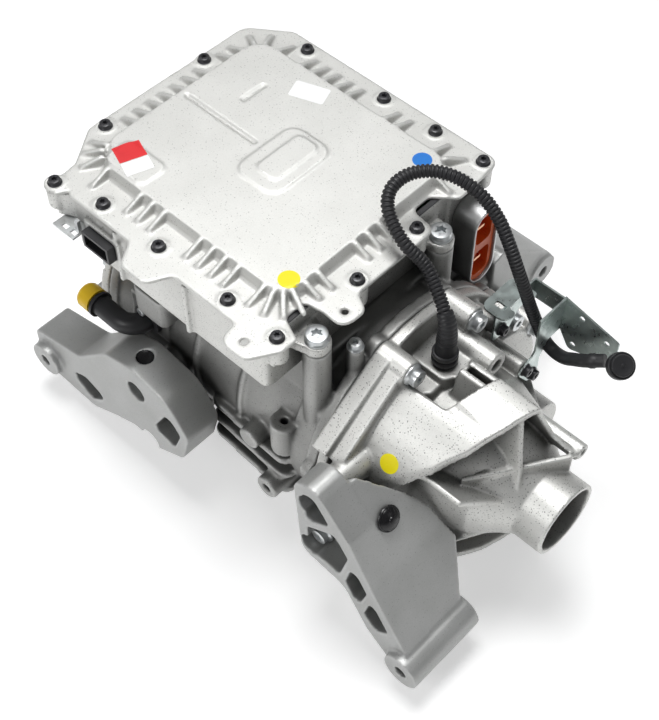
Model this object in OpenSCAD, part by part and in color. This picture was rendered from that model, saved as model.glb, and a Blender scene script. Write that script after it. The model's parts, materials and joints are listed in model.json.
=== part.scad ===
// Electric drive unit: motor, reduction gear with differential, and inverter in one casing.
// Millimetres. The origin is on the axle, at the outer face of the right output collar.
// +X runs along the axle out of the gearbox, +Y to the back, +Z up.

/* [Casing] */
// Length of the gearbox along the axle
gearbox_depth = 197; // [190:1:210]
// Length of the motor housing
motor_len = 300; // [292:1:330]
// Outer radius of the motor housing
motor_r = 116; // [113:1:122]
// Reach of the joint flange beyond the motor housing
flange_reach = 14; // [12:0.5:18]
// Thickness of each joint flange
flange_t = 12; // [10:0.5:14]
// Thickness of the wall between motor and gearbox
bulkhead_t = 18; // [17:0.5:24]
// Wall of the gearbox cover
cover_wall = 8; // [6:0.5:9]
// Depth of the motor end cover
end_cover_t = 30; // [28:1:36]
// Height of the floor pads below the axle
floor_drop = 142; // [140:1:150]

/* [Axle] */
// Radius of the bore in the right output collar
collar_bore_r = 34; // [33:0.5:36]
// Radius of the bore in the left collar
left_bore_r = 37; // [36.5:0.5:38]
// Wall of the output collars
collar_wall = 5; // [4:0.5:7]
// Length of the turned right collar
collar_len = 38; // [34:1:44]
// Length that the left collar stands out
left_collar_len = 13; // [8:1:20]
// Depth from the collar face to the seal
seal_depth = 28; // [24:1:30]

/* [Gears] */
// Module of the gear teeth
tooth_module = 2.5; // [2.4:0.05:2.6]
// Teeth of the rotor pinion
rotor_teeth = 19; // [18:1:20]
// Teeth of the large layshaft gear
lay_gear_teeth = 51; // [49:1:52]
// Teeth of the small layshaft pinion
lay_pinion_teeth = 17; // [16:1:19]
// Face width of the first gear pair
stage_one_w = 24; // [20:1:26]
// Direction of the layshaft from the axle, from +Y towards +Z
lay_angle = -25; // [-32:1:-20]
// Thickness taken off each tooth for running play
tooth_play = 0.3; // [0.2:0.05:0.5]

/* [Motor] */
// Radius of the stator core
stator_r = 100; // [96:1:103]
// Radius of the rotor core
rotor_r = 65; // [60:1:68]
// Radial air gap
air_gap = 0.8; // [0.6:0.1:1.2]
// Length of the core stack
stack_len = 150; // [130:1:160]
// Number of stator slots
slots = 36; // [24:6:48]
// Number of rotor poles
poles = 8; // [6:2:10]
// Radius of the bore through the rotor shaft
shaft_bore_r = 15; // [13:0.5:16]

/* [Inverter] */
// Length of the inverter cover along the axle
inverter_len = 321; // [315:1:340]
// Reach of the inverter cover to the front
inverter_front = 144; // [140:1:150]
// Reach of the inverter cover to the back
inverter_back = 155; // [150:1:162]
// Gap from the joint plane to the cover edge
inverter_setback = 20; // [16:1:24]
// Height of the inverter housing
inverter_h = 67; // [60:1:75]
// Thickness of the cover flange
cover_t = 4; // [3:0.5:6]
// Height of the raised middle of the cover
plateau_h = 11; // [8:0.5:14]
// Thickness of the gasket
gasket_t = 1; // [0.8:0.1:2]
// Wall of the inverter housing
inverter_wall = 5; // [4:0.5:6]
// Distance of the cover screws from the edge
screw_inset = 11; // [10:0.5:13]

/* [Mount brackets] */
// Radius of the hole in each bracket eye
eye_hole_r = 6.5; // [5.5:0.25:7]
// Outer radius of a bracket eye
eye_r = 20; // [17:0.5:22]
// Distance of the front eyes' faces from the axle
eye_y = 181; // [178:1:190]
// Height of the left eye below the axle
left_eye_drop = 84; // [76:1:92]
// Height of the right eye below the axle
right_eye_drop = 99; // [92:1:106]
// Distance from the joint plane to the left eye
left_eye_back = 352; // [345:1:360]
// Distance from the joint plane to the right eye
right_eye_out = 159; // [155:1:165]

/* [Breather and cooling] */
// Outer diameter of the breather hose
hose_d = 13; // [12:0.5:14]
// Outer radius of the coolant pipe
pipe_r = 11; // [9:0.5:12]
// Wall of the coolant pipe
pipe_wall = 2.5; // [2:0.25:3]
// Thickness of the sheet hose bracket
sheet_t = 2; // [1.5:0.25:3]

/* [Fasteners] */
// Radius of the cover screw shank
screw_r = 3; // [2.5:0.25:3.5]
// Radius of the flange bolt shank
bolt_r = 5; // [4:0.25:5.5]

/* [Clearances] */
// Gap round a piece that is seated for good
seat_gap = 0.05; // [0.02:0.01:0.1]
// Radial gap of a running fit
run_gap = 0.06; // [0.03:0.01:0.1]
// Gap round a screw shank
shank_gap = 0.3; // [0.2:0.05:0.5]
// Gap between the faces of turning pieces
side_gap = 4; // [3:0.25:4]

/* [Hidden] */
$fn = 64;
over = 1;

// Stations along the axle
flange_r = motor_r + flange_reach;
part_x = -gearbox_depth;
bulkhead_x = part_x - bulkhead_t;
motor_x = part_x - motor_len;
end_x = motor_x - end_cover_t;
left_x = end_x - left_collar_len;
left_seal_x = left_x + seal_depth - 16;
one_a = part_x + side_gap;
one_b = one_a + stage_one_w;
carrier_t = 12;
carrier_a = one_b + side_gap;
carrier_b = carrier_a + carrier_t;
two_a = carrier_b + side_gap;
stack_b = bulkhead_x - 66;
stack_a = stack_b - stack_len;

// Stator slots and winding
slot_start = rotor_r + air_gap + 3;
slot_depth = (stator_r - slot_start) * 0.77;
winding_r = slot_start + slot_depth + 2;

// Gears
ring_teeth = rotor_teeth + lay_gear_teeth - lay_pinion_teeth;
centre_d = tooth_module * (rotor_teeth + lay_gear_teeth) / 2;
lay_y = centre_d * cos(lay_angle);
lay_z = centre_d * sin(lay_angle);
pressure = 20;
gear_room = 4;
function tip_r(z) = tooth_module * (z + 2) / 2;
function root_r(z) = tooth_module * (z - 2.5) / 2;

// Differential, set from the seal in the right collar
bevel_module = 3.4;
side_teeth = 16;
spider_teeth = 10;
bevel_face = 10;
bevel_play = 0.5;
bevel_len = bevel_module * sqrt(pow(side_teeth, 2) + pow(spider_teeth, 2)) / 2;
case_wall = 8;
side_back = 6;
side_hub_r = 19;
side_hub_len = 19;
spline_r = 13;
pin_r = 8;
case_r = 51;
case_cavity_r = 43;
case_half = bevel_module * spider_teeth / 2 + side_back + case_wall;
seal_t = 10;
diff_right_brg = [-seal_depth - seal_t - 22, 14, 24, 38, 0, 0];
hub_right = diff_right_brg[0] + diff_right_brg[1];
case_right = diff_right_brg[0] - 9;
case_x = case_right - case_half;
case_flange_t = 8;
two_b = case_x - case_half + 12;

// Bearings: [x of the left face, width, bore radius, outer radius, y, z]
rotor_left_brg = [motor_x - 13, 13, 22, 36, 0, 0];
rotor_right_brg = [part_x - 15, 13, 22, 36, 0, 0];
lay_left_brg = [part_x - 14, 12, 13, 25, lay_y, lay_z];
lay_right_brg = [two_b + side_gap + 2, 12, 13, 25, lay_y, lay_z];
diff_left_brg = [carrier_a, carrier_t, 24, 38, 0, 0];
bearings = [rotor_left_brg, rotor_right_brg, lay_left_brg, lay_right_brg, diff_left_brg, diff_right_brg];

// Gearbox cover
bulge_r = tip_r(lay_gear_teeth) + gear_room + cover_wall;
lay_boss_r = lay_right_brg[3] + cover_wall + 2;
lay_boss_x = lay_right_brg[0] + lay_right_brg[1] + cover_wall;
ring_room_r = tip_r(ring_teeth) + gear_room;
chamber_r = flange_r - 24;
shell_r = flange_r - 10;
shell_tip_r = flange_r - 22;
collar_r = collar_bore_r + collar_wall;
left_collar_r = left_bore_r + collar_wall;
seal_lip = 1;
hub_r = ring_room_r + cover_wall;
// Slanting edge of the shell: distance from the joint plane, and Y
ridge = [[22, -220], [32, -125], [42, -115], [62, -108], [81, -97], [100, -82], [118, -57], [130, -25],
    [137, 3], [140, 14], [140, 220]];
rib_t = 6;
rib_h = 3.5;
bolt_circle = flange_r - 6;
boss_r = 13;
boss_len = 36;
ring_bolt_angles = [28, 68, 109, 173, 206, 240, 272];
bulge_bolt_angles = [-80, -25, 32];
flange_bolts = concat(
    [for (a = ring_bolt_angles) [bolt_circle * cos(a), bolt_circle * sin(a)]],
    [for (a = bulge_bolt_angles)
        [lay_y + (bulge_r + 8) * cos(lay_angle + 25 + a), lay_z + (bulge_r + 8) * sin(lay_angle + 25 + a)]]);
long_boss = [35, 91];
long_boss_x = part_x + 75;
long_hole_r = 6;
long_hole_len = 40;
fitting_at = [part_x + 39, 3];
fitting_z = 96;
arm_angles = [132, 205, 280];
shelf_w = 46;
side_boss = [42, 46];
// Flat back side of the shell: Y at a height
function back_y(z) = 14 + 0.36 * (110 - z);
recess_depth = 30;

// Inverter
saddle_z = motor_r + 4;
inv_xr = part_x - inverter_setback;
inv_xl = inv_xr - inverter_len;
inv_yf = -inverter_front;
inv_yb = inverter_back;
inv_z1 = saddle_z + inverter_h;
cover_z = inv_z1 + gasket_t;
screw_z = cover_z + cover_t;
floor_t = 8;
near_y = inv_yf + screw_inset;
back_y = inv_yb - screw_inset - 1;
left_in = inv_xl + screw_inset - 1;
screws = [
    [inv_xl + 32, inv_yf - 1], [inv_xl + 85, near_y], [inv_xl + 159, near_y], [inv_xr - 75, near_y],
    [inv_xr - 16, near_y], [inv_xr - 10, -41], [inv_xr - 12, 39], [inv_xr - 22, back_y],
    [inv_xr - 80, back_y], [inv_xr - 145, back_y], [inv_xl + 74, back_y], [left_in, 63], [left_in, -65]];
screw_boss_r = 9.5;
box_xr = inv_xr - 23;
post_r = 13;
ear_z0 = inv_z1 - 29;
ear_t = 10;
rear_ear_z0 = inv_z1 - 60;
// Each bolt of the inverter: x, y and the height of its post
post_bolts = [[part_x - flange_t - 12, -98, ear_z0], [part_x - flange_t - 12, 64, ear_z0],
    [inv_xr - 110, inv_yb + 11, rear_ear_z0], [inv_xl + 70, inv_yb + 11, rear_ear_z0]];
board_posts = [[inv_xl + 50, -80], [inv_xl + 50, 82], [box_xr - 22, -80], [box_xr - 22, 82]];
board_z = inv_z1 - 16;
bus_x = bulkhead_x - 38;
bus_gap = 6;

// High-voltage connector
hv_y = 121;
hv_z = saddle_z - 4;
hv_tall = 100;
hv_wide = 37;
hv_x0 = box_xr + 2;
hv_x1 = part_x - 13;
hv_wall = 3;
hv_pocket = 5;

// Mount brackets
front_face_y = -eye_y + 8;
left_back_y = -motor_r - 14;
right_back_y = -flange_r - 11;
right_eye_len = 52;
left_eye = [part_x - left_eye_back, -left_eye_drop];
right_eye = [part_x + right_eye_out, -right_eye_drop];
left_bolts = [[left_eye[0] + 160, left_eye[1] + 4], [left_eye[0] + 150, left_eye[1] + 78]];
right_bolts = [[part_x + 35, 48], [part_x + 37, -18]];
rear_eye = [236, -18];
rear_x0 = part_x - 74;
rear_x1 = part_x - 15;
rear_bolts = [[rear_x0 + 16.5, 34], [(rear_x0 + rear_x1) / 2 + 12.5, 34]];
rear_face_y = motor_r + 30;
plug_r = 11;

// Coolant port
port_seat_y = -motor_r - 2;
port_y = port_seat_y - 23;
port_z = 34;
port_x0 = motor_x - 2;
port_bend_x = motor_x + 45;
port_bend_r = 20;
port_x = port_bend_x + port_bend_r;

// Breather: route of the hose from its fitting, over the cover edge and down to its cap
hose_route = [
    [-158, 3, 127], [-158, 3, 138], [-162, 5, 152], [-178, 10, 172], [-196, 12, 192], [-216, 5, 212],
    [-238, 10, 228], [-249, 23, 238], [-248, 42, 243], [-236, 60, 244], [-216, 73, 240], [-194, 81, 228],
    [-175, 84, 210], [-160, 84, 188], [-148, 85, 164], [-140, 89, 140], [-134, 94, 116], [-129, 100, 94],
    [-124, 105, 76]];
tail_route = [[-123.9, 105.1, 75.65], [-122.5, 106.5, 70.6], [-117, 107.5, 62], [-106, 107, 58], [-93, 104, 63],
    [-80, 100, 76],
    [-67, 98, 88], [-52, 104, 96]];
hose_sides = 10;

// Hose bracket
tab_z = 116;
tab_x0 = part_x + 30;
tab_x1 = part_x + 60;
tab_y0 = 62;
tab_y1 = 110;
wing_x = part_x + 82;
wing_y = 124;
wing_len = 64;
wing_z0 = 75;
wing_z1 = 118;
stay_x = part_x + 46;
foot_holes = [[71, 58], [84, 40]];
tab_screw = [76, 84];

// Shared shapes

// A point at a radius and an angle
function polar(r, a) = [r * cos(a), r * sin(a)];

// One corner of an outline, rounded by an arc of a few points
function unit(v) = v / norm(v);
function corner(a, b, c, r) =
    let(u = unit(a - b), w = unit(c - b), half = acos(u * w) / 2, mid = b + unit(u + w) * r / sin(half),
        s = b + u * r / tan(half) - mid, e = b + w * r / tan(half) - mid, sweep = 180 - 2 * half)
    [for (k = [0:4]) mid + (s * sin((1 - k / 4) * sweep) + e * sin(k / 4 * sweep)) / sin(sweep)];

// Outline through corners given as [x, y, radius]
function rounded(c) = [for (i = [0:len(c) - 1])
    let(n = len(c), b = c[i], a = c[(i + n - 1) % n], d = c[(i + 1) % n])
    each corner([a[0], a[1]], [b[0], b[1]], [d[0], d[1]], b[2])];

module rod_x(x0, x1, r, y = 0, z = 0) {
    translate([x0, y, z]) rotate([0, 90, 0]) cylinder(h = x1 - x0, r = r);
}

module rod_y(y0, y1, r, x, z) {
    translate([x, y0, z]) rotate([-90, 0, 0]) cylinder(h = y1 - y0, r = r);
}

module rod_z(z0, z1, r, x, y) {
    translate([x, y, z0]) cylinder(h = z1 - z0, r = r);
}

module tube_x(x0, x1, ro, ri, y = 0, z = 0) {
    difference() {
        rod_x(x0, x1, ro, y, z);
        rod_x(x0 - over, x1 + over, ri, y, z);
    }
}

// An outline in Y and Z, drawn out along X
module prism_x(x0, x1) {
    translate([x0, 0, 0]) rotate([90, 0, 90]) linear_extrude(x1 - x0) children();
}

// An outline in X and Z, drawn out along Y
module prism_y(y0, y1) {
    translate([0, y1, 0]) rotate([90, 0, 0]) linear_extrude(y1 - y0) children();
}

// An outline in X and Y, drawn out along Z
module prism_z(z0, z1) {
    translate([0, 0, z0]) linear_extrude(z1 - z0) children();
}

module block(x0, x1, y0, y1, z0, z1) {
    translate([x0, y0, z0]) cube([x1 - x0, y1 - y0, z1 - z0]);
}

// A profile of [x, radius] points turned about an axis along X
module turned(profile, y = 0, z = 0) {
    translate([0, y, z]) rotate([0, 90, 0]) rotate_extrude() polygon([for (p = profile) [p[1], p[0]]]);
}

// A flange screw along +Z: head above the seat, shank below
module flange_screw(seat, shank, r, head_r, head_h) {
    translate([0, 0, seat]) cylinder(h = head_h * 0.3, r = head_r);
    translate([0, 0, seat + head_h * 0.3]) cylinder(h = head_h * 0.7, r = head_r * 0.78);
    translate([0, 0, seat - shank]) cylinder(h = shank + head_h * 0.3, r = r);
}

// The same screw with its head towards +X, -X, +Y or -Y
module screw_px(x, y, z, shank, r, head_r, head_h) {
    translate([x, y, z]) rotate([0, 90, 0]) flange_screw(0, shank, r, head_r, head_h);
}

module screw_nx(x, y, z, shank, r, head_r, head_h) {
    translate([x, y, z]) rotate([0, -90, 0]) flange_screw(0, shank, r, head_r, head_h);
}

module screw_py(x, y, z, shank, r, head_r, head_h) {
    translate([x, y, z]) rotate([-90, 0, 0]) flange_screw(0, shank, r, head_r, head_h);
}

module screw_ny(x, y, z, shank, r, head_r, head_h) {
    translate([x, y, z]) rotate([90, 0, 0]) flange_screw(0, shank, r, head_r, head_h);
}

// Spur gear outline with involute flanks
function involute(a) = tan(a) * 180 / PI - a;
function tooth_half(z, r) =
    let(pr = tooth_module * z / 2, br = pr * cos(pressure), a = r > br ? acos(br / r) : 0)
    90 / z + involute(pressure) - involute(a) - tooth_play / (2 * pr) * 180 / PI;
function gear_outline(z, turn) =
    let(rs = [root_r(z), tooth_module * z / 2, tip_r(z)])
    [for (i = [0:z - 1]) let(t = turn + i * 360 / z)
        each concat([for (r = rs) polar(r, t - tooth_half(z, r))],
            [for (k = [2:-1:0]) polar(rs[k], t + tooth_half(z, rs[k]))])];

// Straight bevel gear: its teeth run to the apex at the origin, its large end at +Z
function bevel_half(z, cone, h) =
    let(r = bevel_module * z / 2, vr = r / cos(cone), br = vr * cos(pressure), q = vr + h,
        a = q > br ? acos(br / q) : 0,
        v = 90 * cos(cone) / z + involute(pressure) - involute(a) - bevel_play / (2 * vr) * 180 / PI)
    v * q / (r + h * cos(cone));
function bevel_outline(z, cone, plane, turn) =
    let(hs = [-1.25 * bevel_module, 0, bevel_module])
    [for (i = [0:z - 1]) let(t = turn + i * 360 / z)
        each concat([for (h = hs) polar(plane * tan(cone + atan(h / bevel_len)), t - bevel_half(z, cone, h))],
            [for (k = [2:-1:0])
                polar(plane * tan(cone + atan(hs[k] / bevel_len)), t + bevel_half(z, cone, hs[k]))])];
module bevel(z, mate, turn) {
    cone = atan(z / mate);
    plane = bevel_len * cos(cone);
    share = 1 - bevel_face / bevel_len;
    translate([0, 0, plane]) mirror([0, 0, 1])
        linear_extrude(plane * (1 - share), scale = share) polygon(bevel_outline(z, cone, plane, turn));
}

// Ball bearing rings, with a groove for the balls
function ball_r(b) = (b[3] - b[2]) * 0.27;
function ball_path(b) = (b[2] + b[3]) / 2;
module bearing_outer(b) {
    translate([b[0] + b[1] / 2, b[4], b[5]]) rotate([0, 90, 0]) rotate_extrude() difference() {
        translate([ball_path(b) + ball_r(b) * 0.5, -b[1] / 2])
            square([b[3] - seat_gap - ball_path(b) - ball_r(b) * 0.5, b[1]]);
        translate([ball_path(b), 0]) circle(r = ball_r(b) + 2 * run_gap);
    }
}

module bearing_inner(b) {
    translate([b[0] + b[1] / 2, b[4], b[5]]) rotate([0, 90, 0]) {
        rotate_extrude() difference() {
            translate([b[2] + seat_gap, -b[1] / 2])
                square([ball_path(b) - ball_r(b) * 0.5 - b[2] - seat_gap, b[1]]);
            translate([ball_path(b), 0]) circle(r = ball_r(b) + 2 * run_gap);
        }
        rotate_extrude() translate([ball_path(b) - ball_r(b) * 0.25, -ball_r(b) * 0.8])
            square([ball_r(b) * 0.5, ball_r(b) * 1.6]);
        for (a = [0:40:320]) rotate([0, 0, a]) translate([ball_path(b), 0, 0]) sphere(r = ball_r(b));
    }
}

// Casing

// Outline of the joint between motor housing and gearbox cover
module joint_outline() {
    circle(r = flange_r);
    translate([lay_y, lay_z]) circle(r = bulge_r);
    for (p = flange_bolts) translate(p) circle(r = boss_r);
    for (s = [-1, 1]) translate([s * 62, -floor_drop]) translate([-22, 0]) square([44, floor_drop - 90]);
}

module motor_housing() color("#b9bab8") {
    difference() {
        union() {
            rod_x(motor_x, part_x, motor_r);
            prism_x(part_x - flange_t, part_x) joint_outline();
            rod_x(motor_x, motor_x + flange_t, motor_r + rib_h);
            rod_x(part_x - 40, part_x - flange_t, motor_r + 6);
            for (x = [motor_x + 36, motor_x + 124, motor_x + 186]) rod_x(x, x + rib_t, motor_r + rib_h);
            rod_x(bulkhead_x, part_x, lay_boss_r, lay_y, lay_z);
            block(motor_x, bulkhead_x - 12, -94, 94, 40, saddle_z);
            for (p = [post_bolts[0], post_bolts[1]]) rod_z(40, p[2], post_r, p[0], p[1]);
            for (p = [post_bolts[2], post_bolts[3]]) rod_z(0, p[2], post_r, p[0], p[1]);
            for (p = [post_bolts[2], post_bolts[3]]) block(p[0] - 5, p[0] + 5, 80, p[1], 20, 100);
            rod_z(80, ear_z0 - 20, post_r - 5, part_x - 10, -64);
            for (x = [motor_x + 20, motor_x + 110])
                for (s = [-1, 1]) block(x, x + 34, s * 62 - 20, s * 62 + 20, -floor_drop, -80);
            for (b = left_bolts) rod_y(left_back_y, -80, 15, b[0], b[1]);
            for (b = rear_bolts) rod_y(80, rear_face_y, 14, b[0], b[1]);
            block(port_x - 26, port_x + 26, port_seat_y, -90, port_z - 20, port_z + 22);
            front_boss_shapes();
        }
        rod_x(motor_x - over, bulkhead_x, stator_r + seat_gap);
        bearing_seat(rotor_right_brg, part_x + over);
        bearing_seat(lay_left_brg, part_x + over);
        rod_x(bulkhead_x - over, part_x + over, rotor_right_brg[2] + 6);
        for (p = flange_bolts) rod_x(part_x - flange_t - over, part_x + over, bolt_r + seat_gap, p[0], p[1]);
        for (p = post_bolts) rod_z(p[2] - 40, p[2] + over, bolt_r + seat_gap, p[0], p[1]);
        rod_z(ear_z0 - 36, ear_z0 + over, screw_r + seat_gap, part_x - 10, -64);
        for (a = [22.5:45:337.5])
            rod_x(motor_x - over, motor_x + 26, screw_r + seat_gap, (motor_r - 6) * cos(a), (motor_r - 6) * sin(a));
        for (b = left_bolts) rod_y(left_back_y - over, -96, bolt_r + seat_gap, b[0], b[1]);
        for (b = rear_bolts) rod_y(112, rear_face_y + over, bolt_r + seat_gap, b[0], b[1]);
        rod_y(port_seat_y - over, -80, pipe_r - pipe_wall, port_x, port_z);
        rod_y(port_seat_y - over, port_seat_y + 14, screw_r + seat_gap, port_x, port_z + 17);
        block(bus_x - bus_gap, bus_x + bus_gap, -44, 44, 80, saddle_z + over);
        rod_z(20, 60, 4, part_x - 48, -118);
    }
}

// Bosses and struts on the front of the motor housing
module front_boss_shapes() {
    rod_z(0, 42, 14, part_x - 48, -118);
    block(part_x - 58, part_x - 38, -118, -90, 0, 34);
    rod_y(-136, -100, 12, part_x - 82, -6);
    difference() {
        rod_y(-142, -90, 13, part_x - 54, -58);
        rod_y(-142 - over, -120, 5, part_x - 54, -58);
    }
    prism_z(60, 96) polygon(rounded([
        [motor_x + 62, -80, 2], [motor_x + 62, -132, 8], [motor_x + 106, -132, 8], [motor_x + 106, -80, 2]]));
    prism_x(motor_x + 104, motor_x + 110) polygon([[-90, 20], [-126, 92], [-100, 92], [-80, 20]]);
    for (z = [-20, -46, -72]) prism_z(z, z + 7) polygon(rounded([
        [motor_x + 150, -60, 2], [motor_x + 150, -124, 12], [bulkhead_x - 20, -130, 12],
        [bulkhead_x - 20, -60, 2]]));
}

// Room for a bearing, open towards x1, with a lip behind it
module bearing_seat(b, x1) {
    rod_x(b[0], x1, b[3], b[4], b[5]);
    rod_x(b[0] - 2, x1, b[3] - 5, b[4], b[5]);
}

module motor_end_cover() color("#b3b4b2") difference() {
    union() {
        turned([[motor_x, 0], [motor_x, motor_r + rib_h], [motor_x - flange_t, motor_r + rib_h],
            [end_x + 6, motor_r - 26], [end_x, left_collar_r + 18], [end_x, left_collar_r + 4],
            [left_x, left_collar_r], [left_x, 0]]);
        for (a = [0:45:315]) rotate([a, 0, 0])
            block(end_x + 1, motor_x - flange_t, -rib_t / 2, rib_t / 2, collar_r, motor_r - 2);
    }
    rod_x(rotor_left_brg[0], motor_x + over, rotor_left_brg[3]);
    rod_x(left_x - over, motor_x, collar_bore_r - 2);
    rod_x(left_x - over, left_seal_x, left_bore_r);
    rod_x(left_x, left_seal_x + seal_t, left_bore_r - seal_lip);
    difference() {
        rod_x(motor_x - 12, motor_x + over, motor_r - 22);
        rod_x(motor_x - 12 - over, motor_x + 2 * over, collar_r + 20);
    }
    for (a = [22.5:45:337.5])
        rod_x(end_x - over, motor_x + over, screw_r + shank_gap, (motor_r - 6) * cos(a), (motor_r - 6) * sin(a));
    for (a = [22.5:45:337.5])
        rod_x(end_x - over, motor_x - flange_t + 2, 10, (motor_r - 6) * cos(a), (motor_r - 6) * sin(a));
}

module end_cover_bolts() color("#8f9194") for (a = [22.5:45:337.5])
    screw_nx(motor_x - flange_t + 2, (motor_r - 6) * cos(a), (motor_r - 6) * sin(a), 34, screw_r, 8, 7);

// The slanting edge that cuts the gearbox shell back towards the front, in X and Y
module ridge_outline(shift) {
    polygon(concat([[part_x - over, 220], [part_x - over, -220]],
        [for (p = ridge) [max(part_x + p[0] + shift, part_x - over / 2), p[1]]]));
}

module shell_form(inset) {
    turned([[part_x, 0], [part_x, shell_r - inset], [-20, shell_tip_r - inset], [-20, 0]]);
}

// A wedge in Y and Z between two angles
module wedge(a, b) {
    polygon(concat([[0, 0]], [for (k = [0:6]) polar(300, a + (b - a) * k / 6)]));
}

// Shell round the hub: cut off by the slanting edge, hollow behind it,
// and open on top between the joint flange and the slanting shelf
module shell_visor() {
    difference() {
        intersection() {
            shell_form(0);
            prism_z(-200, 200) ridge_outline(0);
        }
        difference() {
            shell_form(cover_wall);
            prism_z(-210, 210) ridge_outline(-recess_depth);
        }
        intersection() {
            prism_x(part_x - over, 10) wedge(-6, 112);
            prism_z(-210, 210) ridge_outline(-shelf_w);
        }
        prism_x(part_x + 60, 10) polygon([[back_y(200), 200], [back_y(-200), -200], [300, -200], [300, 200]]);
    }
}

// Conical hub over the ring gear and the differential, running out into the turned collar
module hub_form() {
    turned([[part_x, 0], [part_x, hub_r], [two_b + 4, hub_r], [case_right + 2, case_r + 6 + cover_wall],
        [hub_right, diff_right_brg[3] + cover_wall + 2], [-collar_len, collar_r + 4], [-collar_len + 6, collar_r],
        [0, collar_r], [0, 0]]);
    rod_x(part_x, lay_boss_x, lay_boss_r, lay_y, lay_z);
}

// Webs between the hub and the shell, seen inside the slanting ridge
// Each upper web is given by its angle and the station where it meets the shell
module hub_ribs() {
    for (w = [[55, 135], [124, 105]]) rotate([w[0], 0, 0])
        prism_y(-rib_t / 2, rib_t / 2)
            polygon([[part_x + 60, 60], [part_x + 60, shell_tip_r - 4], [part_x + w[1], shell_tip_r - 4],
                [-44, collar_r + 2], [-70, collar_r + 2]]);
    for (a = [242, 280]) rotate([a, 0, 0]) prism_y(-rib_t / 2, rib_t / 2)
        polygon([[part_x + 8, 70], [part_x + 8, shell_r - 2], [two_b, 96],
            [-50, collar_r + 6], [-70, collar_r + 6]]);
    intersection() {
        prism_y(-10, 80) polygon([[part_x + 60, 40], [part_x + 60, 106], [-66, 110], [-58, 103], [-48, 62],
            [-22, 50], [-22, 40]]);
        prism_x(part_x, 0)
            polygon([[back_y(120), 120], [back_y(30), 30], [back_y(30) - rib_t, 30], [back_y(120) - rib_t, 120]]);
    }
    intersection() {
        prism_y(-60, 20) polygon([[part_x + 60, 36], [part_x + 60, 108], [-66, 109], [-46, 56], [-40, 36]]);
        prism_x(part_x, 0) polygon([[-2, 112], [4, 112], [-23, 30], [-29, 30]]);
    }
    prism_z(20, 55) polygon([[-82, -59], [-78, -62], [-21, 26], [-25, 30]]);
    rod_x(-72, -20, 8, side_boss[0], side_boss[1]);
}

module gearbox_cover() color("#c4c5c2") {
    difference() {
        union() {
            prism_x(part_x, part_x + flange_t) joint_outline();
            difference() {
                union() {
                    shell_visor();
                    rod_x(part_x, one_b + side_gap + cover_wall, bulge_r, lay_y, lay_z);
                }
                for (p = flange_bolts) rod_x(part_x + boss_len, 0, 12, p[0], p[1]);
            }
            hub_form();
            hub_ribs();
            for (p = flange_bolts) rod_x(part_x, part_x + boss_len, boss_r, p[0], p[1]);
            rod_x(part_x, long_boss_x, 14, long_boss[0], long_boss[1]);
            rod_x(part_x, stay_x, 9, tab_screw[0], tab_screw[1]);
            for (p = foot_holes) rod_x(part_x, wing_x, 9, p[0], p[1]);
            rotate([48, 0, 0]) block(part_x + 2, stay_x - 10, 70, 108, -4, 4);
            rotate([23, 0, 0]) block(part_x + 2, wing_x - 10, 70, 98, -4, 4);
            rotate([68, 0, 0]) block(part_x + 2, part_x + boss_len - 8, 70, bolt_circle, -6, 6);
            breather_block();
            for (b = right_bolts) rod_y(right_back_y, -60, 15, b[0], b[1]);
            front_rib_block();
        }
        intersection() {
            rod_x(part_x - over, carrier_b, chamber_r);
            prism_x(part_x - over, carrier_b) wedge(117, 330);
        }
        rod_x(part_x - over, one_b + side_gap, bulge_r - cover_wall, lay_y, lay_z);
        rod_x(part_x - over, two_b + 4, ring_room_r);
        rod_x(part_x - over, lay_right_brg[0], tip_r(lay_pinion_teeth) + gear_room, lay_y, lay_z);
        turned([[two_b, 0], [two_b, ring_room_r], [two_b + 4, ring_room_r], [case_right + 2, case_r + 6],
            [case_right + 4, 44], [case_right + 4, 0]]);
        rod_x(part_x, diff_right_brg[0] + diff_right_brg[1], diff_right_brg[3]);
        rod_x(part_x, lay_right_brg[0] + lay_right_brg[1], lay_right_brg[3], lay_y, lay_z);
        rod_x(part_x, over, collar_bore_r - 2);
        rod_x(-seal_depth, over, collar_bore_r);
        rod_x(-seal_depth - seal_t - 2, -seal_depth + over, collar_bore_r - seal_lip);
        for (p = flange_bolts)
            rod_x(part_x - over, part_x + boss_len + over, bolt_r + shank_gap, p[0], p[1]);
        rod_x(long_boss_x - long_hole_len, long_boss_x + over, long_hole_r, long_boss[0], long_boss[1]);
        rod_x(stay_x - 18, stay_x + over, screw_r + seat_gap, tab_screw[0], tab_screw[1]);
        for (p = foot_holes) rod_x(wing_x - 18, wing_x + over, screw_r + seat_gap, p[0], p[1]);
        for (b = right_bolts) rod_y(right_back_y - over, -112, bolt_r + seat_gap, b[0], b[1]);
        rod_z(fitting_z - 18, fitting_z + over, 8 + seat_gap, fitting_at[0], fitting_at[1]);
        rod_x(-36, -20 + over, 3.5, side_boss[0], side_boss[1]);
        for (a = arm_angles) rotate([a, 0, 0])
            rod_x(carrier_b - over, carrier_b + 16, screw_r + seat_gap, chamber_r - 12);
    }
}

// Seat of the breather on the hub, with a lower pad in front of it
module breather_block() {
    x = fitting_at[0];
    y = fitting_at[1];
    prism_z(60, fitting_z) polygon(rounded([[x - 26, y - 17, 3], [x + 13, y - 17, 6], [x + 24, y + 2, 6],
        [x + 16, y + 19, 6], [x - 26, y + 19, 3]]));
    prism_z(60, fitting_z - 8) polygon(rounded([[x - 26, y - 50, 3], [x, y - 46, 3], [x + 12, y - 30, 3],
        [x + 12, y - 10, 3], [x - 26, y - 10, 3]]));
}

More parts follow.
